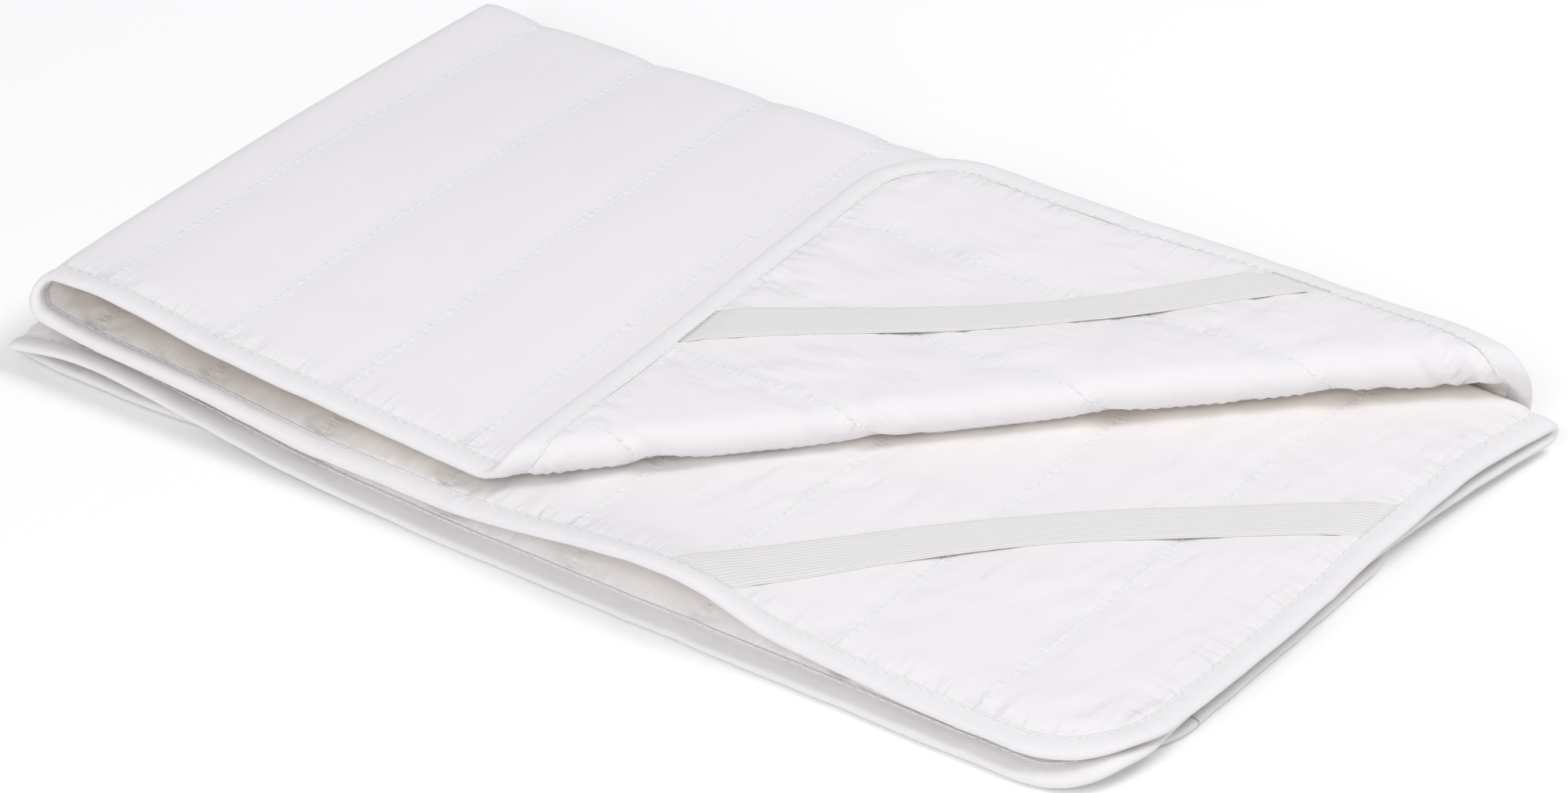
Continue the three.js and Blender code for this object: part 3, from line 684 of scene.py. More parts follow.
def grid_lines():
    half_u, half_v = LENGTH / 2 - FULL_INSET, WIDTH / 2 - FULL_INSET
    middles = (SEAMS[:-1] + SEAMS[1:]) / 2
    lines_u = [SEAMS, middles, IN_FOLD_ONE, -IN_FOLD_ONE, [half_u, -half_u], NEAR_THE_ENDS]
    for side in (-1, 1):
        lines_u += [seam + side * BESIDE_SEAM for seam in SEAMS]
    lines_u = np.unique(np.round(np.concatenate(lines_u), 3))
    near_fold = np.abs(lines_u) < FOLD_ONE_SPAN
    own = np.isin(np.round(np.abs(lines_u), 3), np.append(IN_FOLD_ONE, 0))
    lines_u = lines_u[(~near_fold | own) & (np.abs(lines_u) <= half_u)]
    top = np.arange(-half_v, -IN_FOLD_TWO[-1] - 2, ROW_TOP)
    bottom = np.arange(half_v, IN_FOLD_TWO[-1] + 4, -ROW_BOTTOM)
    lines_v = np.concatenate([top, -IN_FOLD_TWO, [0], IN_FOLD_TWO, bottom])
    return lines_u, np.sort(lines_v)


lines_u, lines_v = grid_lines()
print(len(lines_u), "by", len(lines_v), "lines, so", 4 * len(lines_u) * len(lines_v), "triangles")


# %% Round the grid's corners
def press_corners(u, v):
    """Moves the square corners of a grid that fills the outline at FULL_INSET into its arcs."""
    core_u, core_v = LENGTH / 2 - CORNER_RADIUS, WIDTH / 2 - CORNER_RADIUS
    radius = CORNER_RADIUS - FULL_INSET
    a = np.maximum(np.abs(u) - core_u, 0) / radius
    b = np.maximum(np.abs(v) - core_v, 0) / radius
    at_corner = (a > 0) & (b > 0)
    pressed_u = core_u + radius * a * np.sqrt(1 - b**2 / 2)
    pressed_v = core_v + radius * b * np.sqrt(1 - a**2 / 2)
    return (
        np.where(at_corner, np.sign(u) * pressed_u, u),
        np.where(at_corner, np.sign(v) * pressed_v, v),
    )


pressed = press_corners(np.array([LENGTH / 2 - FULL_INSET]), np.array([WIDTH / 2 - FULL_INSET]))
print("the grid's corner is pressed in to", [round(float(c[0]), 1) for c in pressed], "mm")

# %% [markdown]
# ## The pad's two faces
# A face is the channel's crown less its creases. The stitches hold the cloth, so creases stay shallow
# near a row, and where a row rides over the turned corner's crease it is drawn in further. Beneath an
# elastic no ridge may rise, because the elastic presses it flat.

# %% Shape the faces
UNDER_BAND = 16.0
PINCH_DEEP, PINCH_WIDE, PINCH_LONG = 1.0, 5.0, 15.0
CREASE_ON_CLOTH = 610.0
EDGE_HOLD, SEAM_HOLD, LEFT_AT_SEAM = 3.0, 5.0, 0.3
HIGHEST_RIDGE, DEEPEST_CREASE = -0.8, 2.0


def under_elastic(u, v):
    """Whether flat points lie beneath one of the elastics."""
    beneath = np.zeros(np.shape(u), bool)
    for _, along, across, long, short, bow in BANDS:
        from_u = (LENGTH / 2 - along * u) / long
        from_v = (WIDTH / 2 - across * v) / short
        off = (from_u + from_v - 1) * long * short / math.hypot(long, short)
        beneath |= (off > -UNDER_BAND) & (off < UNDER_BAND + bow)
    return beneath


def pinched(u, v):
    """How far a row of quilting is drawn in where it rides over the turned corner's crease."""
    across_crease = (u - v - CREASE_ON_CLOTH) / ROOT_TWO
    return PINCH_DEEP * np.exp(-((to_seam(u) / PINCH_WIDE) ** 2) - (across_crease / PINCH_LONG) ** 2)


def pad_face(u, v, side):
    """Where the pad's surface lies on one side, through the cloth."""
    if side > 0:
        depth, drawn_in = crease_depth(u, v, TOP_CREASES), 0
    else:
        depth, drawn_in = crease_depth(u, v, UNDER_CREASES), pinched(u, v)
        depth = np.where(under_elastic(u, v), np.maximum(depth, 0), depth)
    at_edge = smooth((inset_of(u, v) - BINDING_WIDTH) / EDGE_HOLD)
    held = at_edge * lerp(LEFT_AT_SEAM, 1, smooth(to_seam(u) / SEAM_HOLD))
    return side * (half_thickness(u, v) - drawn_in - held * np.clip(depth, HIGHEST_RIDGE, DEEPEST_CREASE))


print("creases sink a face by up to", DEEPEST_CREASE, "mm, ridges raise it by up to", -HIGHEST_RIDGE, "mm")


# %% Build the pad
# Rings round the grid: how far in from the outline, and half the thickness there, or None for the
# thickness of the faces. The last three lie beneath the tape.
FACE_RINGS = [(18.0, None), (16.0, None), (14.2, None), (13.0, None)]
TONGUE_RINGS = [(BINDING_WIDTH + 0.25, 1.24), (BINDING_WIDTH - 0.6, TONGUE_ROOT)]
TONGUE_RINGS += [(7.0, 0.65), (TIP_INSET, TONGUE_TIP)]


def build_pad():
    grid_u, grid_v = np.meshgrid(lines_u, lines_v, indexing="ij")
    u, v = press_corners(grid_u.ravel(), grid_v.ravel())
    point, through_cloth = surface(u, v)
    number = np.arange(u.size).reshape(grid_u.shape)
    quads, border = grid_quads(number), grid_border(number)
    spokes = rim_of(u[border], v[border])
    parts, loops, faces, count = [], [], [], 0
    for side in (1, -1):
        w = pad_face(u, v, side)
        parts.append((point + through_cloth * w[:, None] - CENTRE, u, v))
        faces.append((quads if side > 0 else quads[:, ::-1]) + count)
        loop = border + count
        count += u.size
        for inset, half in FACE_RINGS + TONGUE_RINGS:
            ring_u, ring_v = at_inset(spokes, inset)
            level = pad_face(ring_u, ring_v, side) if half is None else np.full(border.size, side * half)
            parts.append((place(ring_u, ring_v, level), ring_u, ring_v))
            ring = np.arange(count, count + border.size)
            faces.append(strip(ring, loop) if side > 0 else strip(ring, loop)[:, ::-1])
            loop = ring
            count += border.size
        loops.append(loop)
    faces.append(strip(loops[1], loops[0]))
    points = np.concatenate([part[0] for part in parts])
    points[:, 2] = np.maximum(points[:, 2], 0)
    cut = np.stack([np.concatenate([part[k] for part in parts]) for k in (1, 2)], axis=-1)
    side = np.repeat([1, -1], len(points) // 2)
    return points, np.concatenate(faces), cut, side


pad_points, pad_faces, pad_cut, pad_side = build_pad()
pad = make_piece("quilted_pad", pad_points, pad_faces, pad_cut)
add_value(pad, "underside", pad_side < 0)
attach(pad, "root")
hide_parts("pad")

# %% [markdown]
# ## Painted bounce light inside the folds
# The light that gets in between two layers has met the cloth many times, so it is dim and takes on
# the cloth's own colour. Very many light bounces would show it, at a price. Here each point of the
# pad says how sheltered it is, and that value paints a warm bounce light into the cotton's colour.

# %% How sheltered each point is
SHELTER_FROM, SHELTER_RUN = 2, 22  # in from the outline
TURNED_FROM, TURNED_RUN = 95, 20  # where the roll over the crease brings the underside into the open
COVERED_FROM, COVERED_RUN = 140, 45  # where the next quarter goes in beneath the top one
HALF_SHELTERED = 0.5


def shelter_of(cut, side):
    """How deep inside the folds a point of the pad lies, from 0 in the open to 1."""
    u, v = cut[:, 0], cut[:, 1]
    inward = smooth((inset_of(u, v) - SHELTER_FROM) / SHELTER_RUN)
    px, py, _, unrolled = folded(u, v)
    turned_over = smooth((px - unrolled - TURNED_FROM) / TURNED_RUN)
    covered = smooth((COVERED_FROM - px + py) / COVERED_RUN)
    quarter = quarter_of(u, v)
    lower_quarters = np.where(quarter == 1, covered, HALF_SHELTERED)
    inner_side = inward * np.where(quarter == 0, 1 - turned_over, lower_quarters)
    sleeping_side = HALF_SHELTERED * inward * ((quarter == 1) | (quarter == 2))
    return np.where(side > 0, sleeping_side, inner_side)


shelter_values = shelter_of(pad_cut, pad_side)
# this value paints warm bounce light into the cotton deep in the folds
add_value(pad, "shelter", shelter_values)
print("mean shelter of the pad:", round(float(shelter_values.mean()), 2))

# %% [markdown]
# ## The binding
# The tape wraps the pad's edge and is sewn down on its inner edge, so its section is a soft roll with
# a valley at the stitches and a small lip beside it. The section is carried round the whole outline
# like the hem of a real protector, as one closed ring.

# %% The tape's section
# How far in from the outline, and half the thickness there.
BINDING_SECTION = [
    (12.0, 1.15), (12.1, 1.3), (11.7, 1.42), (10.9, 1.33), (10.0, 1.5), (8.4, 1.95), (6.0, 2.25),
    (3.6, 2.28), (1.6, 1.9), (0.3, 1.15), (-0.1, 0.0),
]
BINDING_LINING = [(1.6, 0.85), (6.8, 1.05)]
print("half the section goes", BINDING_SECTION[0][0] - BINDING_SECTION[-1][0], "mm in from the edge")

# %% Stitches' dimples and gathers in the tape
STITCH_PITCH = 5.5
DIMPLE_DEEP, DIMPLE_AT, DIMPLE_WIDE = 0.13, 10.2, 1.6
GATHER_AT, GATHER_WIDE = 8.5, 3.2
ROLL_AT, ROLL_WIDE = 4.0, 3.5
tape_rng = np.random.default_rng(5)


def wobble(spacing, size):
    """A smooth random line round the outline."""
    count = int(rim_length / spacing)
    stops = np.linspace(0, rim_length, count + 1)
    values = tape_rng.normal(0, size, count)
    return np.interp(rim_along, stops, np.append(values, values[0]))


def tape_relief(inset, w):
    """Dimples that the stitches pull in the tape, and the gathers between them."""
    side = 0 if w > 0 else 1
    dimple = DIMPLE_DEEP * np.cos(2 * np.pi * rim_along / STITCH_PITCH)
    dimple = dimple * math.exp(-(((inset - DIMPLE_AT) / DIMPLE_WIDE) ** 2))
    gather = tape_gather[side] * math.exp(-(((inset - GATHER_AT) / GATHER_WIDE) ** 2))
    return dimple + gather + tape_roll[side] * math.exp(-(((inset - ROLL_AT) / ROLL_WIDE) ** 2))


tape_gather = [wobble(3.6, 0.13) for _ in range(2)]
tape_roll = [wobble(9.0, 0.12) for _ in range(2)]
edge_wave = wobble(14.0, 0.22)
print("the tape's edge strays by up to", round(float(np.abs(edge_wave).max()), 2), "mm")


# %% Build the binding
def build_binding():
    outer = BINDING_SECTION + [(inset, -w) for inset, w in BINDING_SECTION[-2::-1]]
    lining = [(inset, -w) for inset, w in BINDING_LINING[::-1]] + BINDING_LINING
    section = outer + lining
    points, cut = [], []
    travel = 0.0
    for k, (inset, w) in enumerate(section):
        shows = k < len(outer)
        u, v = at_inset(rim, inset + (edge_wave if shows else 0))
        points.append(place(u, v, w + np.sign(w) * (tape_relief(inset, w) if shows else 0)))
        if k:
            travel += math.dist(section[k - 1], section[k])
        cut.append(np.stack([rim_along, np.full(u.size, travel)], -1))
    count = rim.shape[1]
    loops = [np.arange(count) + k * count for k in range(len(section))]
    faces = [strip(b, a) for a, b in zip(loops, loops[1:] + loops[:1])]
    return np.concatenate(points), np.concatenate(faces), np.concatenate(cut)


binding = make_piece("edge_binding", *build_binding())
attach(binding, "root")
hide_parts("binding")

# %% [markdown]
# ## The elastic bands
# A ribbed elastic is sewn across each corner of the underside, to hold the protector on a mattress.
# It is drawn as a strip between the two edges, with a rounded rib for each rubber thread. It stands on
# the crowns and bridges the rows of quilting, so small dark gaps open beneath it.

# %% Build the four elastics
BAND_WIDTH, BAND_THICKNESS = 22.0, 0.9
RIBS, RIB_DEPTH, RIB_POWER, STEPS_PER_RIB = 13, 0.34, 0.7, 4
BAND_STEPS = 72
BAND_LIFT, BAND_END_LIFT, BAND_END_RUN = 2.55, 1.3, 11.0
BAND_GAP = 0.15  # above the cloth's crowns
BAND_END_THICKNESS, SELVEDGE_THIN, SELVEDGE_POWER = 0.5, 0.5, 10
BAND_CLEAR = 11.4  # how far in from the outline the ends stop, just past the tape's inner edge


def build_band(along, across, long, short, bow):
    q = np.linspace(0, 1, RIBS * STEPS_PER_RIB + 1)
    t = np.linspace(0, 1, BAND_STEPS + 1)
    q_grid, t_grid = np.meshgrid(q, t)
    wider = (2 * q_grid - 1) * BAND_WIDTH / ROOT_TWO - BAND_CLEAR
    bowed = bow * np.sin(np.pi * t_grid) / ROOT_TWO
    u = along * (LENGTH / 2 - lerp(BAND_CLEAR, long + wider, t_grid) - bowed)
    v = across * (WIDTH / 2 - lerp(short + wider, BAND_CLEAR, t_grid) - bowed)
    near_end = smooth((inset_of(u, v) - BAND_CLEAR) / BAND_END_RUN)
    resting = np.maximum(half_thickness(u, v), BAND_LIFT) + BAND_GAP
    under = lerp(BAND_END_LIFT, resting, near_end)
    rib = RIB_DEPTH * (np.abs(np.cos(np.pi * RIBS * q_grid)) ** RIB_POWER - 1)
    thick = lerp(BAND_END_THICKNESS, BAND_THICKNESS, near_end)
    thick = thick * (1 - SELVEDGE_THIN * np.abs(2 * q_grid - 1) ** SELVEDGE_POWER)
    length = math.hypot(long - 2 * BAND_CLEAR, short - 2 * BAND_CLEAR)
    cut = np.stack([(t_grid * length).ravel(), (q_grid * BAND_WIDTH).ravel()], -1)
    top = place(u.ravel(), v.ravel(), -(under + thick + rib).ravel())
    low = place(u.ravel(), v.ravel(), -under.ravel())
    rows, columns = t_grid.shape
    number = np.arange(rows * columns).reshape(rows, columns)
    quads, border = grid_quads(number), grid_border(number)
    wall = strip(border, border + number.size)
    faces = np.concatenate([quads, quads[:, ::-1] + number.size, wall[:, ::-1]])
    if along * across > 0:
        faces = faces[:, ::-1]
    return np.concatenate([top, low]), faces, np.concatenate([cut, cut])


bands = []
for name, *where in BANDS:
    band = make_piece("ribbed_" + name, *build_band(*where))
    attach(band, "root")
    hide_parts(name)
    bands.append(band)

# %% [markdown]
# ## Stitches
# Thread is what makes quilting read as sewn. Each stitch is a short thread that dives into the cloth
# at both ends. They are drawn on the flat cloth as rounded rods and joined in one mesh, because
# thousands of separate objects would slow everything down.

# %% One stitch
STITCH_LENGTH, THREAD_RADIUS = 4.8, 0.3
THREAD_WIDE, THREAD_HIGH = 1.3, 0.6  # the thread is pressed a little flat
STITCH_STOPS = np.array([0.0, 0.22, 0.78, 1.0])
STITCH_LEVELS = np.array([-0.2, 0.16, 0.16, -0.2])


def rods(start_u, start_v, way_u, way_v, level, side):
    """Rounded rods from flat starting points, each STITCH_LENGTH long, on the given side."""
    corner = np.arange(4) * np.pi / 2 + np.pi / 4
    aside = THREAD_WIDE * THREAD_RADIUS * np.cos(corner)
    up = THREAD_HIGH * THREAD_RADIUS * np.sin(corner)
    s = STITCH_STOPS[None, :, None] * STITCH_LENGTH
    u = start_u[:, None, None] + way_u[:, None, None] * s - way_v[:, None, None] * aside
    v = start_v[:, None, None] + way_v[:, None, None] * s + way_u[:, None, None] * aside
    w = side * (level[:, None, None] + STITCH_LEVELS[None, :, None] + up[None, None, :])
    w = np.broadcast_to(w, u.shape)
    points = place(u.ravel(), v.ravel(), w.ravel())
    ring = np.arange(16).reshape(4, 4)
    one = [strip(ring[k + 1], ring[k]) for k in range(3)] + [ring[:1], ring[3:, ::-1]]
    one = np.concatenate(one)
    if side < 0:
        one = one[:, ::-1]
    faces = (one[None] + ring.size * np.arange(len(start_u))[:, None, None]).reshape(-1, 4)
    cut = np.stack([u.ravel(), v.ravel()], -1)
    return points, faces, cut


one_stitch = rods(*np.array([[0.0], [0.0], [0.0], [1.0]]), np.ones(1), 1)
print("a stitch is", len(one_stitch[0]), "points and", len(one_stitch[1]), "faces")

# %% Rows of stitches
BINDING_STITCH_INSET, BINDING_STITCH_LEVEL = 10.9, 1.46  # in the tape's valley


def build_quilting_stitches():
    sets = []
    reach = WIDTH / 2 - BINDING_WIDTH - 1
    start = np.arange(-reach, reach - STITCH_LENGTH, STITCH_PITCH)
    for side in (1, -1):
        for seam in SEAMS:
            u = np.full(len(start), seam)
            v = start + (STITCH_PITCH / 2 if side < 0 else 0)
            level = side * pad_face(u, v + STITCH_LENGTH / 2, side)
            ones, zeros = np.ones(len(start)), np.zeros(len(start))
            sets.append(rods(u, v, zeros, ones, level, side))
    return joined(*sets)


def build_binding_stitches():
    sets = []
    count = int(rim_length / STITCH_PITCH)
    at = np.linspace(0, rim_length, count, endpoint=False)
    spoke = [np.interp(at, np.append(rim_along, rim_length), np.append(r, r[0])) for r in rim]
    for side in (1, -1):
        u, v = at_inset(spoke, BINDING_STITCH_INSET)
        level = np.full(count, BINDING_STITCH_LEVEL)
        sets.append(rods(u, v, -spoke[3], spoke[2], level, side))
    return joined(*sets)


quilting_stitches = make_piece("quilting_stitches", *build_quilting_stitches())
binding_stitches = make_piece("binding_stitches", *build_binding_stitches())
for stitches in (quilting_stitches, binding_stitches):
    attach(stitches, "root")

# %% [markdown]
# ## What the finishes share
# All the parts are white cotton or elastic, so what tells them apart is small: the weave, the fine
# creases that sewing leaves, and a slight change of tone. Each of these is one shader node group, used
# by several materials with their own values. The groups read the flat cut from the UV map, so the
# weave runs with the cloth through every fold. A noise in space would slide over the layers.


# %% Helpers for node trees
def wire(tree, kind, operation=None, values=(), **settings):
    """A node with its settings, and values or links for its inputs in order."""
    node = tree.nodes.new(kind)
    if operation:
        node.operation = operation
    for key, value in settings.items():
        setattr(node, key, value)
    for socket, value in zip(node.inputs, values):
        if isinstance(value, bpy.types.NodeSocket):
            tree.links.new(value, socket)
        elif value is not None:
            socket.default_value = value
    return node


def calc(tree, operation, *values):
    return wire(tree, "ShaderNodeMath", operation=operation, values=values).outputs[0]


def new_group(name, inputs, outputs):
    """A node group whose inputs are (name, value) and whose outputs are names of numbers."""
    tree = bpy.data.node_groups.new(name, "ShaderNodeTree")
    for label, value in inputs:
        socket = tree.interface.new_socket(label, in_out="INPUT", socket_type="NodeSocketFloat")
        socket.default_value = value
    for label in outputs:
        tree.interface.new_socket(label, in_out="OUTPUT", socket_type="NodeSocketFloat")
    return tree, tree.nodes.new("NodeGroupInput").outputs, tree.nodes.new("NodeGroupOutput").inputs


def cut_of(tree):
    """The flat cut's two coordinates in metres, apart and as a vector."""
    cut = wire(tree, "ShaderNodeUVMap", uv_map="cut").outputs[0]
    apart = wire(tree, "ShaderNodeSeparateXYZ", values=[cut]).outputs
    return apart[0], apart[1], cut


def noise(tree, u, v, across, along, detail=2.0, warp=0.0):
    """Noise over the cut, its size across and along the cloth given in millimetres."""
    at_u, at_v = calc(tree, "MULTIPLY", u, 1000 / across), calc(tree, "MULTIPLY", v, 1000 / along)
    at = wire(tree, "ShaderNodeCombineXYZ", values=[at_u, at_v, 0.0]).outputs[0]
    node = wire(tree, "ShaderNodeTexNoise")
    tree.links.new(at, node.inputs["Vector"])
    node.inputs["Scale"].default_value = 1.0
    node.inputs["Detail"].default_value = detail
    node.inputs["Distortion"].default_value = warp
    return node.outputs[0]


def tell(tree):
    """Says how large a node group is."""
    print("node group", tree.name, "has", len(tree.nodes), "nodes")


# %% [markdown]
# ## Woven threads
# Plain cotton is threads that go over and under each other. A picture of a weave could be laid on, but
# two waves that cross, warp by weft, give the same small bumps at any size. A long thin noise adds
# slubs, the thicker places of a spun thread.

# %% Woven threads
tree, given, result = new_group("woven threads", [("Threads per metre", 1800.0)], ["Height", "Thread"])
u, v, cut = cut_of(tree)
warp_at = calc(tree, "MULTIPLY", calc(tree, "MULTIPLY", u, given[0]), math.pi)
weft_at = calc(tree, "MULTIPLY", calc(tree, "MULTIPLY", v, given[0]), math.pi)
warp_round, weft_round = calc(tree, "SINE", warp_at), calc(tree, "SINE", weft_at)
over = calc(tree, "MULTIPLY", warp_round, weft_round)
slub = noise(tree, u, v, 0.8, 9.0)
tree.links.new(calc(tree, "MULTIPLY_ADD", over, 0.5, slub), result["Height"])
tree.links.new(slub, result["Thread"])
tell(tree)

# %% [markdown]
# ## Fine creases
# Washed cotton keeps soft little dents which are too many to model one by one. They are a slightly
# warped noise, turned and stretched so that it looks like creases, and stronger in some patches.

# %% Fine creases
tree, given, result = new_group("fine creases", [("Size mm", 9.0), ("Amount", 1.0)], ["Height"])
u, v, cut = cut_of(tree)
at = wire(tree, "ShaderNodeVectorMath", operation="SCALE", values=[cut]).outputs[0]
tree.links.new(calc(tree, "DIVIDE", 1000.0, given[0]), at.node.inputs["Scale"])
turned_cut = wire(tree, "ShaderNodeMapping")
tree.links.new(at, turned_cut.inputs["Vector"])
turned_cut.inputs["Rotation"].default_value = (0, 0, 0.7)
turned_cut.inputs["Scale"].default_value = (1.0, 0.38, 1.0)
folds = wire(tree, "ShaderNodeTexNoise")
tree.links.new(turned_cut.outputs[0], folds.inputs["Vector"])
folds.inputs["Scale"].default_value = 1.0
folds.inputs["Detail"].default_value = 1.2
folds.inputs["Distortion"].default_value = 0.35
patch = calc(tree, "MULTIPLY_ADD", noise(tree, u, v, 70.0, 55.0, 1.0), 3.0, -1.0)
patch = calc(tree, "MAXIMUM", patch, 0.15)
scaled = calc(tree, "MULTIPLY", folds.outputs[0], given[1])
tree.links.new(calc(tree, "MULTIPLY", scaled, patch), result["Height"])
tell(tree)

# %% [markdown]
# ## Uneven tone
# No cloth is one flat colour. Two close tones blended by a cloudy noise keep it alive without spots.

# %% Uneven tone
tree, given, result = new_group("uneven tone", [("Size mm", 40.0)], ["Tone"])
u, v, cut = cut_of(tree)
at = wire(tree, "ShaderNodeVectorMath", operation="SCALE", values=[cut]).outputs[0]
tree.links.new(calc(tree, "DIVIDE", 1000.0, given[0]), at.node.inputs["Scale"])
cloud = wire(tree, "ShaderNodeTexNoise")
tree.links.new(at, cloud.inputs["Vector"])
cloud.inputs["Scale"].default_value = 1.0
cloud.inputs["Detail"].default_value = 4.0
tree.links.new(cloud.outputs[0], result["Tone"])
tell(tree)

# %% [markdown]
# ## Small puckers beside the sewing
# The modelled puckers are the larger ones. Between them the cloth has ripples only a few
# millimetres wide, which run straight away from the stitches and soon fade. They are stretched noise,
# masked by the distance to the nearest row of quilting or to the tape.

# %% Sewing puckers
tree, given, result = new_group("sewing puckers", [("Reach mm", 14.0)], ["Height"])
u, v, cut = cut_of(tree)
reach = calc(tree, "DIVIDE", given[0], 1000.0)
channel = calc(tree, "FRACT", calc(tree, "DIVIDE", u, CHANNEL_PITCH * MM))
from_row = calc(tree, "ABSOLUTE", calc(tree, "SUBTRACT", channel, 0.5))
from_seam = calc(tree, "MULTIPLY", from_row, CHANNEL_PITCH * MM)
from_long = calc(tree, "SUBTRACT", (WIDTH / 2 - BINDING_WIDTH) * MM, calc(tree, "ABSOLUTE", v))
from_short = calc(tree, "SUBTRACT", (LENGTH / 2 - BINDING_WIDTH) * MM, calc(tree, "ABSOLUTE", u))


def fading(distance, share):
    """One at the stitches, nothing beyond the reach."""
    away = calc(tree, "DIVIDE", distance, calc(tree, "MULTIPLY", reach, share))
    near = calc(tree, "SUBTRACT", 1.0, away)
    near = calc(tree, "MAXIMUM", calc(tree, "MINIMUM", near, 1.0), 0.0)
    return calc(tree, "MULTIPLY", near, near)


by_seam = calc(tree, "MULTIPLY", noise(tree, u, v, 16.0, 3.0, 1.5, 0.3), fading(from_seam, 0.6))
by_long = calc(tree, "MULTIPLY", noise(tree, u, v, 5.0, 26.0, 1.5, 0.5), fading(from_long, 1.8))
by_short = calc(tree, "MULTIPLY", noise(tree, u, v, 26.0, 5.0, 1.5, 0.5), fading(from_short, 1.8))
both = calc(tree, "ADD", by_long, by_short)
tree.links.new(calc(tree, "MULTIPLY_ADD", by_seam, 0.6, both), result["Height"])
tell(tree)

# %% [markdown]
# ## What a material is made of
# Every finish here is one shader with its own roughness and sheen, and small helpers put a node
# group, a blend of two colours or a bump beside it. The soft sheen stands for the fine fibres that
# stick out of any cloth and catch the light at its edges.


# %% Start a material
SHEEN_ROUGHNESS, GLOSS = 0.5, 0.25


def start_material(name, roughness, sheen):
    material = bpy.data.materials.new(name)
    material.use_nodes = True
    shader = material.node_tree.nodes["Principled BSDF"]
    shader.inputs["Roughness"].default_value = roughness
    shader.inputs["Sheen Weight"].default_value = sheen
    shader.inputs["Sheen Roughness"].default_value = SHEEN_ROUGHNESS
    shader.inputs["Specular IOR Level"].default_value = GLOSS
    return material.node_tree, shader, material


def put_group(tree, name, value, amount=None):
    node = tree.nodes.new("ShaderNodeGroup")
    node.node_tree = bpy.data.node_groups[name]
    node.inputs[0].default_value = value
    if amount:
        tree.links.new(amount, node.inputs[1])
    return node.outputs


def blend_colours(tree, share, first, second):
    node = tree.nodes.new("ShaderNodeMix")
    node.data_type = "RGBA"
    tree.links.new(share, node.inputs[0])
    for socket, value in ((node.inputs[6], first), (node.inputs[7], second)):
        if isinstance(value, bpy.types.NodeSocket):
            tree.links.new(value, socket)
        else:
            socket.default_value = (*value, 1)
    return node.outputs[2]


def bump(tree, height, distance, strength, under=None):
    node = tree.nodes.new("ShaderNodeBump")
    node.inputs["Strength"].default_value = strength
    node.inputs["Distance"].default_value = distance * MM
    tree.links.new(height, node.inputs["Height"])
    if under:
        tree.links.new(under, node.inputs["Normal"])
    return node.outputs[0]


def spread(tree, value, low, high):
    """A 0 to 1 value brought between low and high."""
    return calc(tree, "MULTIPLY_ADD", value, high - low, low)


print("all the finishes have sheen roughness", SHEEN_ROUGHNESS, "and specular level", GLOSS)

# %% [markdown]
# ## Quilted cotton
# The pad is plain bleached cotton, a white with hardly any colour. Its relief comes in three sizes,
# each a bump on top of the one before: fine creases, the puckers beside the sewing, and the weave.
# The underside was pulled about more, so its fine creases are stronger. Deep in the folds a warm
# bounce light is painted into the cotton's colour.

# %% Quilted cotton
COTTON = (0.874, 0.853, 0.861)
COTTON_DUSK = (0.854, 0.832, 0.841)
# painted warm bounce light, blended in deep in the folds
PAINTED_FOLD_BOUNCE_LIGHT = (0.95, 0.90, 0.84)
tree, shader, cotton = start_material("quilted cotton", 0.88, 0.12)
tone = put_group(tree, "uneven tone", 38.0)["Tone"]
weave = put_group(tree, "woven threads", 1800.0)
underside = wire(tree, "ShaderNodeAttribute", attribute_name="underside").outputs["Fac"]
creases = put_group(tree, "fine creases", 11.0, calc(tree, "MULTIPLY_ADD", underside, 0.8, 0.2))["Height"]
puckers = put_group(tree, "sewing puckers", 15.0)["Height"]
shelter = wire(tree, "ShaderNodeAttribute", attribute_name="shelter").outputs["Fac"]
colour = blend_colours(tree, tone, COTTON_DUSK, COTTON)
# paints the warm bounce light of the folds into the colour, by the shelter value
colour = blend_colours(tree, shelter, colour, PAINTED_FOLD_BOUNCE_LIGHT)
tree.links.new(colour, shader.inputs["Base Color"])
tree.links.new(spread(tree, weave["Thread"], 0.8, 0.95), shader.inputs["Roughness"])
normal = bump(tree, creases, 4.2, 0.7)
normal = bump(tree, puckers, 3.2, 0.65, normal)
normal = bump(tree, weave["Height"], 0.05, 0.35, normal)
tree.links.new(normal, shader.inputs["Normal"])
print("quilted cotton has", len(tree.nodes), "nodes")

# %% [markdown]
# ## Binding tape
# The tape is the same kind of cotton, cut on the slant and a little coarser. It is narrow and pulled
# tight, so its creases are small.

# %% Binding tape
TAPE = (0.855, 0.836, 0.842)
TAPE_DUSK = (0.825, 0.806, 0.812)
tree, shader, tape = start_material("binding tape", 0.86, 0.14)
tone = put_group(tree, "uneven tone", 22.0)["Tone"]
weave = put_group(tree, "woven threads", 1500.0)
creases = put_group(tree, "fine creases", 5.0)["Height"]
tree.links.new(blend_colours(tree, tone, TAPE_DUSK, TAPE), shader.inputs["Base Color"])
tree.links.new(spread(tree, weave["Thread"], 0.78, 0.93), shader.inputs["Roughness"])
normal = bump(tree, creases, 1.2, 0.6)
tree.links.new(bump(tree, weave["Height"], 0.05, 0.4, normal), shader.inputs["Normal"])
print("binding tape has", len(tree.nodes), "nodes")
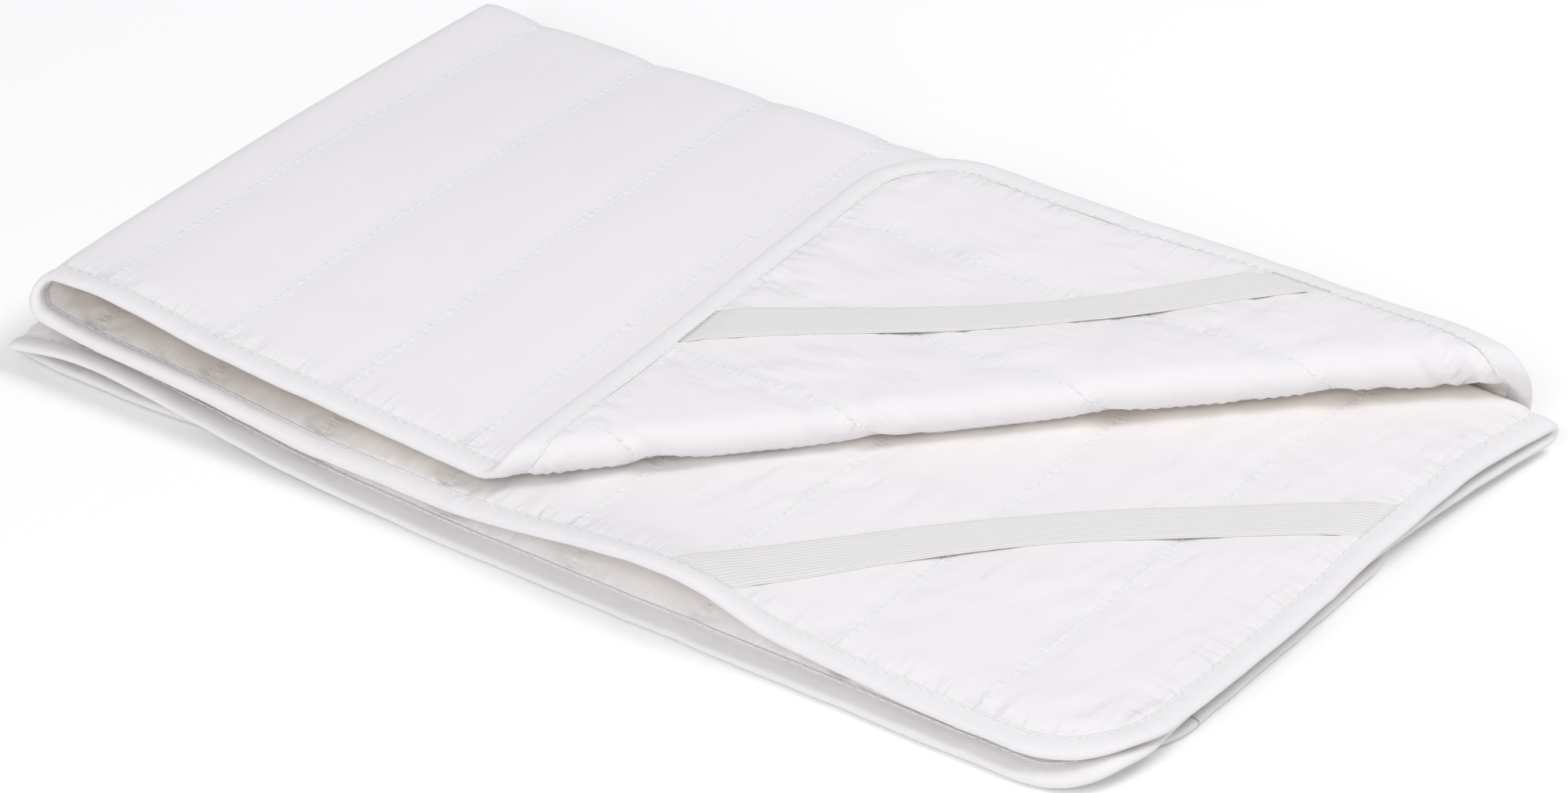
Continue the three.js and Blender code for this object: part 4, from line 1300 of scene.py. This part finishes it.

# %% [markdown]
# ## Ribbed elastic
# Rubber threads run along the elastic, and fine yarn is woven over them crosswise. The ribs are
# modelled already, so the material paints shade into the grooves between them and adds the yarn as
# bump.

# %% Ribbed elastic
ELASTIC = (0.83, 0.812, 0.812)
ELASTIC_DUSK = (0.80, 0.782, 0.782)
# painted shade in the grooves between the modelled ribs
GROOVE_PAINTED_SHADE = (0.70, 0.683, 0.677)
YARN_PITCH = 0.9
tree, shader, elastic = start_material("ribbed elastic", 0.8, 0.05)
u, v, cut = cut_of(tree)
rib_at = calc(tree, "MULTIPLY", v, RIBS * math.pi / (BAND_WIDTH * MM))
rib = calc(tree, "ABSOLUTE", calc(tree, "COSINE", rib_at))
weft = calc(tree, "SINE", calc(tree, "MULTIPLY", u, 2 * math.pi / (YARN_PITCH * MM)))
weft_here = calc(tree, "MULTIPLY_ADD", weft, 0.25, noise(tree, u, v, 1.2, 1.2))
tone = put_group(tree, "uneven tone", 14.0)["Tone"]
colour = blend_colours(tree, tone, ELASTIC_DUSK, ELASTIC)
# the grooves get the painted shade colour
colour = blend_colours(tree, rib, GROOVE_PAINTED_SHADE, colour)
tree.links.new(colour, shader.inputs["Base Color"])
tree.links.new(spread(tree, rib, 0.9, 0.7), shader.inputs["Roughness"])
tree.links.new(bump(tree, weft_here, 0.12, 0.5), shader.inputs["Normal"])
print("ribbed elastic has", len(tree.nodes), "nodes")

# %% [markdown]
# ## Sewing thread
# The thread is two strands twisted together and smoother than the cloth. Its colour is lighter than
# the cloth's, a painted highlight for the light that the raised thread catches. One slanting wave is
# enough for the twist, because a stitch is only a few millimetres long.

# %% Sewing thread
# painted highlight: both thread colours are lighter than the cloth's to stand for the light the raised
# thread catches
THREAD_PAINTED_HIGHLIGHT = (0.98, 0.974, 0.97)
THREAD_DUSK_PAINTED_HIGHLIGHT = (0.955, 0.949, 0.945)
TWIST_PITCH = 0.7
tree, shader, thread = start_material("sewing thread", 0.6, 0.2)
u, v, cut = cut_of(tree)
slanting = calc(tree, "ADD", u, v)
twist = calc(tree, "SINE", calc(tree, "MULTIPLY", slanting, 2 * math.pi / (TWIST_PITCH * MM)))
tone = put_group(tree, "uneven tone", 6.0)["Tone"]
tree.links.new(blend_colours(tree, tone, THREAD_DUSK_PAINTED_HIGHLIGHT, THREAD_PAINTED_HIGHLIGHT), shader.inputs["Base Color"])
tree.links.new(bump(tree, twist, 0.08, 0.5), shader.inputs["Normal"])
print("sewing thread has", len(tree.nodes), "nodes")

# %% [markdown]
# ## Which piece gets which finish
# A maker cuts like pieces from one roll. So do the four elastics here, and the two sets of stitches
# come off one reel: pieces that share a cloth share a material, and a change to it reaches them all.

# %% Give each piece its material
pad.data.materials.append(cotton)
binding.data.materials.append(tape)
for band in bands:
    band.data.materials.append(elastic)
for stitches in (quilting_stitches, binding_stitches):
    stitches.data.materials.append(thread)
print("materials:", [m.name for m in (cotton, tape, elastic, thread)])

# %% [markdown]
# ## Floor, light and camera
# White cloth on a white floor needs very even light, or its creases turn into hard shadows. So most
# of the light comes from the whole sky, which is slightly cool. One lamp high on the right gives the
# rows of quilting a bright and a dark side, and two soft lamps at the front keep the folded edges
# light. The floor has a faint glow that is seen but lights nothing, so it keeps the pad's shadow.


# %% The floor
def seen_directly(tree):
    """One for rays that show the surroundings: from the camera, in gloss, and through glass."""
    path = tree.nodes.new("ShaderNodeLightPath").outputs
    mirrored = calc(tree, "MAXIMUM", path["Is Glossy Ray"], path["Is Transmission Ray"])
    return calc(tree, "MAXIMUM", path["Is Camera Ray"], mirrored)


FLOOR_WHITE, FLOOR_GLOW = 0.92, 0.125
FLOOR_SIZE = 12
bpy.ops.mesh.primitive_plane_add(size=FLOOR_SIZE)
floor = bpy.context.object
floor.name = "studio_floor"
floor_material = bpy.data.materials.new("pale floor")
floor_material.use_nodes = True
tree = floor_material.node_tree
tree.nodes.clear()
diffuse = wire(tree, "ShaderNodeBsdfDiffuse", values=[(FLOOR_WHITE, FLOOR_WHITE, FLOOR_WHITE, 1)])
glow = wire(tree, "ShaderNodeEmission")
tree.links.new(calc(tree, "MULTIPLY", seen_directly(tree), FLOOR_GLOW), glow.inputs["Strength"])
both = wire(tree, "ShaderNodeAddShader", values=[diffuse.outputs[0], glow.outputs[0]])
wire(tree, "ShaderNodeOutputMaterial", values=[both.outputs[0]])
floor.data.materials.append(floor_material)
print("floor", FLOOR_SIZE, "m wide")

# %% The sky
SKY_STRENGTH, SKY_COLOUR = 0.53, (0.965, 0.97, 1.0)
world = bpy.data.worlds.new("studio")
bpy.context.scene.world = world
world.use_nodes = True
tree = world.node_tree
tree.nodes.clear()
sky = wire(tree, "ShaderNodeBackground", values=[(*SKY_COLOUR, 1), SKY_STRENGTH])
white = wire(tree, "ShaderNodeBackground", values=[(1, 1, 1, 1), 1.0])
mixed = wire(tree, "ShaderNodeMixShader", values=[seen_directly(tree), sky.outputs[0], white.outputs[0]])
wire(tree, "ShaderNodeOutputWorld", values=[mixed.outputs[0]])
print("sky strength", SKY_STRENGTH)


# %% Lamps
def soft_lamp(name, place_at, size, power):
    """A square lamp turned to the pad, which stands at the origin."""
    data = bpy.data.lights.new(name, "AREA")
    data.shape, data.size, data.energy = "SQUARE", size, power
    lamp = bpy.data.objects.new(name, data)
    lamp.location = place_at
    lamp.rotation_mode = "QUATERNION"
    lamp.rotation_quaternion = (-Vector(place_at)).to_track_quat("-Z", "Y")
    bpy.context.scene.collection.objects.link(lamp)
    print(name, power, "W,", round(math.hypot(*place_at), 2), "m away")


soft_lamp("key from above right", (1.5, 0.8, 2.6), 1.2, 36)
soft_lamp("fill beside the camera", (0.7, -2.9, 2.2), 1.8, 32)
soft_lamp("low fill at the front", (-0.4, -3.0, 0.65), 1.0, 12)

# %% Camera
CAMERA_LENS, CAMERA_PLACE = 192.2, (1.8647, -2.5851, 2.062)
CAMERA_DOWN, CAMERA_TURN = 32.85, 35.78  # degrees, from level and from looking along y
camera_data = bpy.data.cameras.new("camera")
camera_data.sensor_width = 36
camera_data.lens = CAMERA_LENS
camera_data.clip_end = 50
camera = bpy.data.objects.new("camera", camera_data)
camera.location = CAMERA_PLACE
camera.rotation_euler = (math.radians(90 - CAMERA_DOWN), 0, math.radians(CAMERA_TURN))
bpy.context.scene.collection.objects.link(camera)
bpy.context.scene.camera = camera
bpy.context.scene.view_settings.view_transform = "Standard"
print("camera", round(math.hypot(*CAMERA_PLACE), 2), "m away, lens", CAMERA_LENS, "mm")
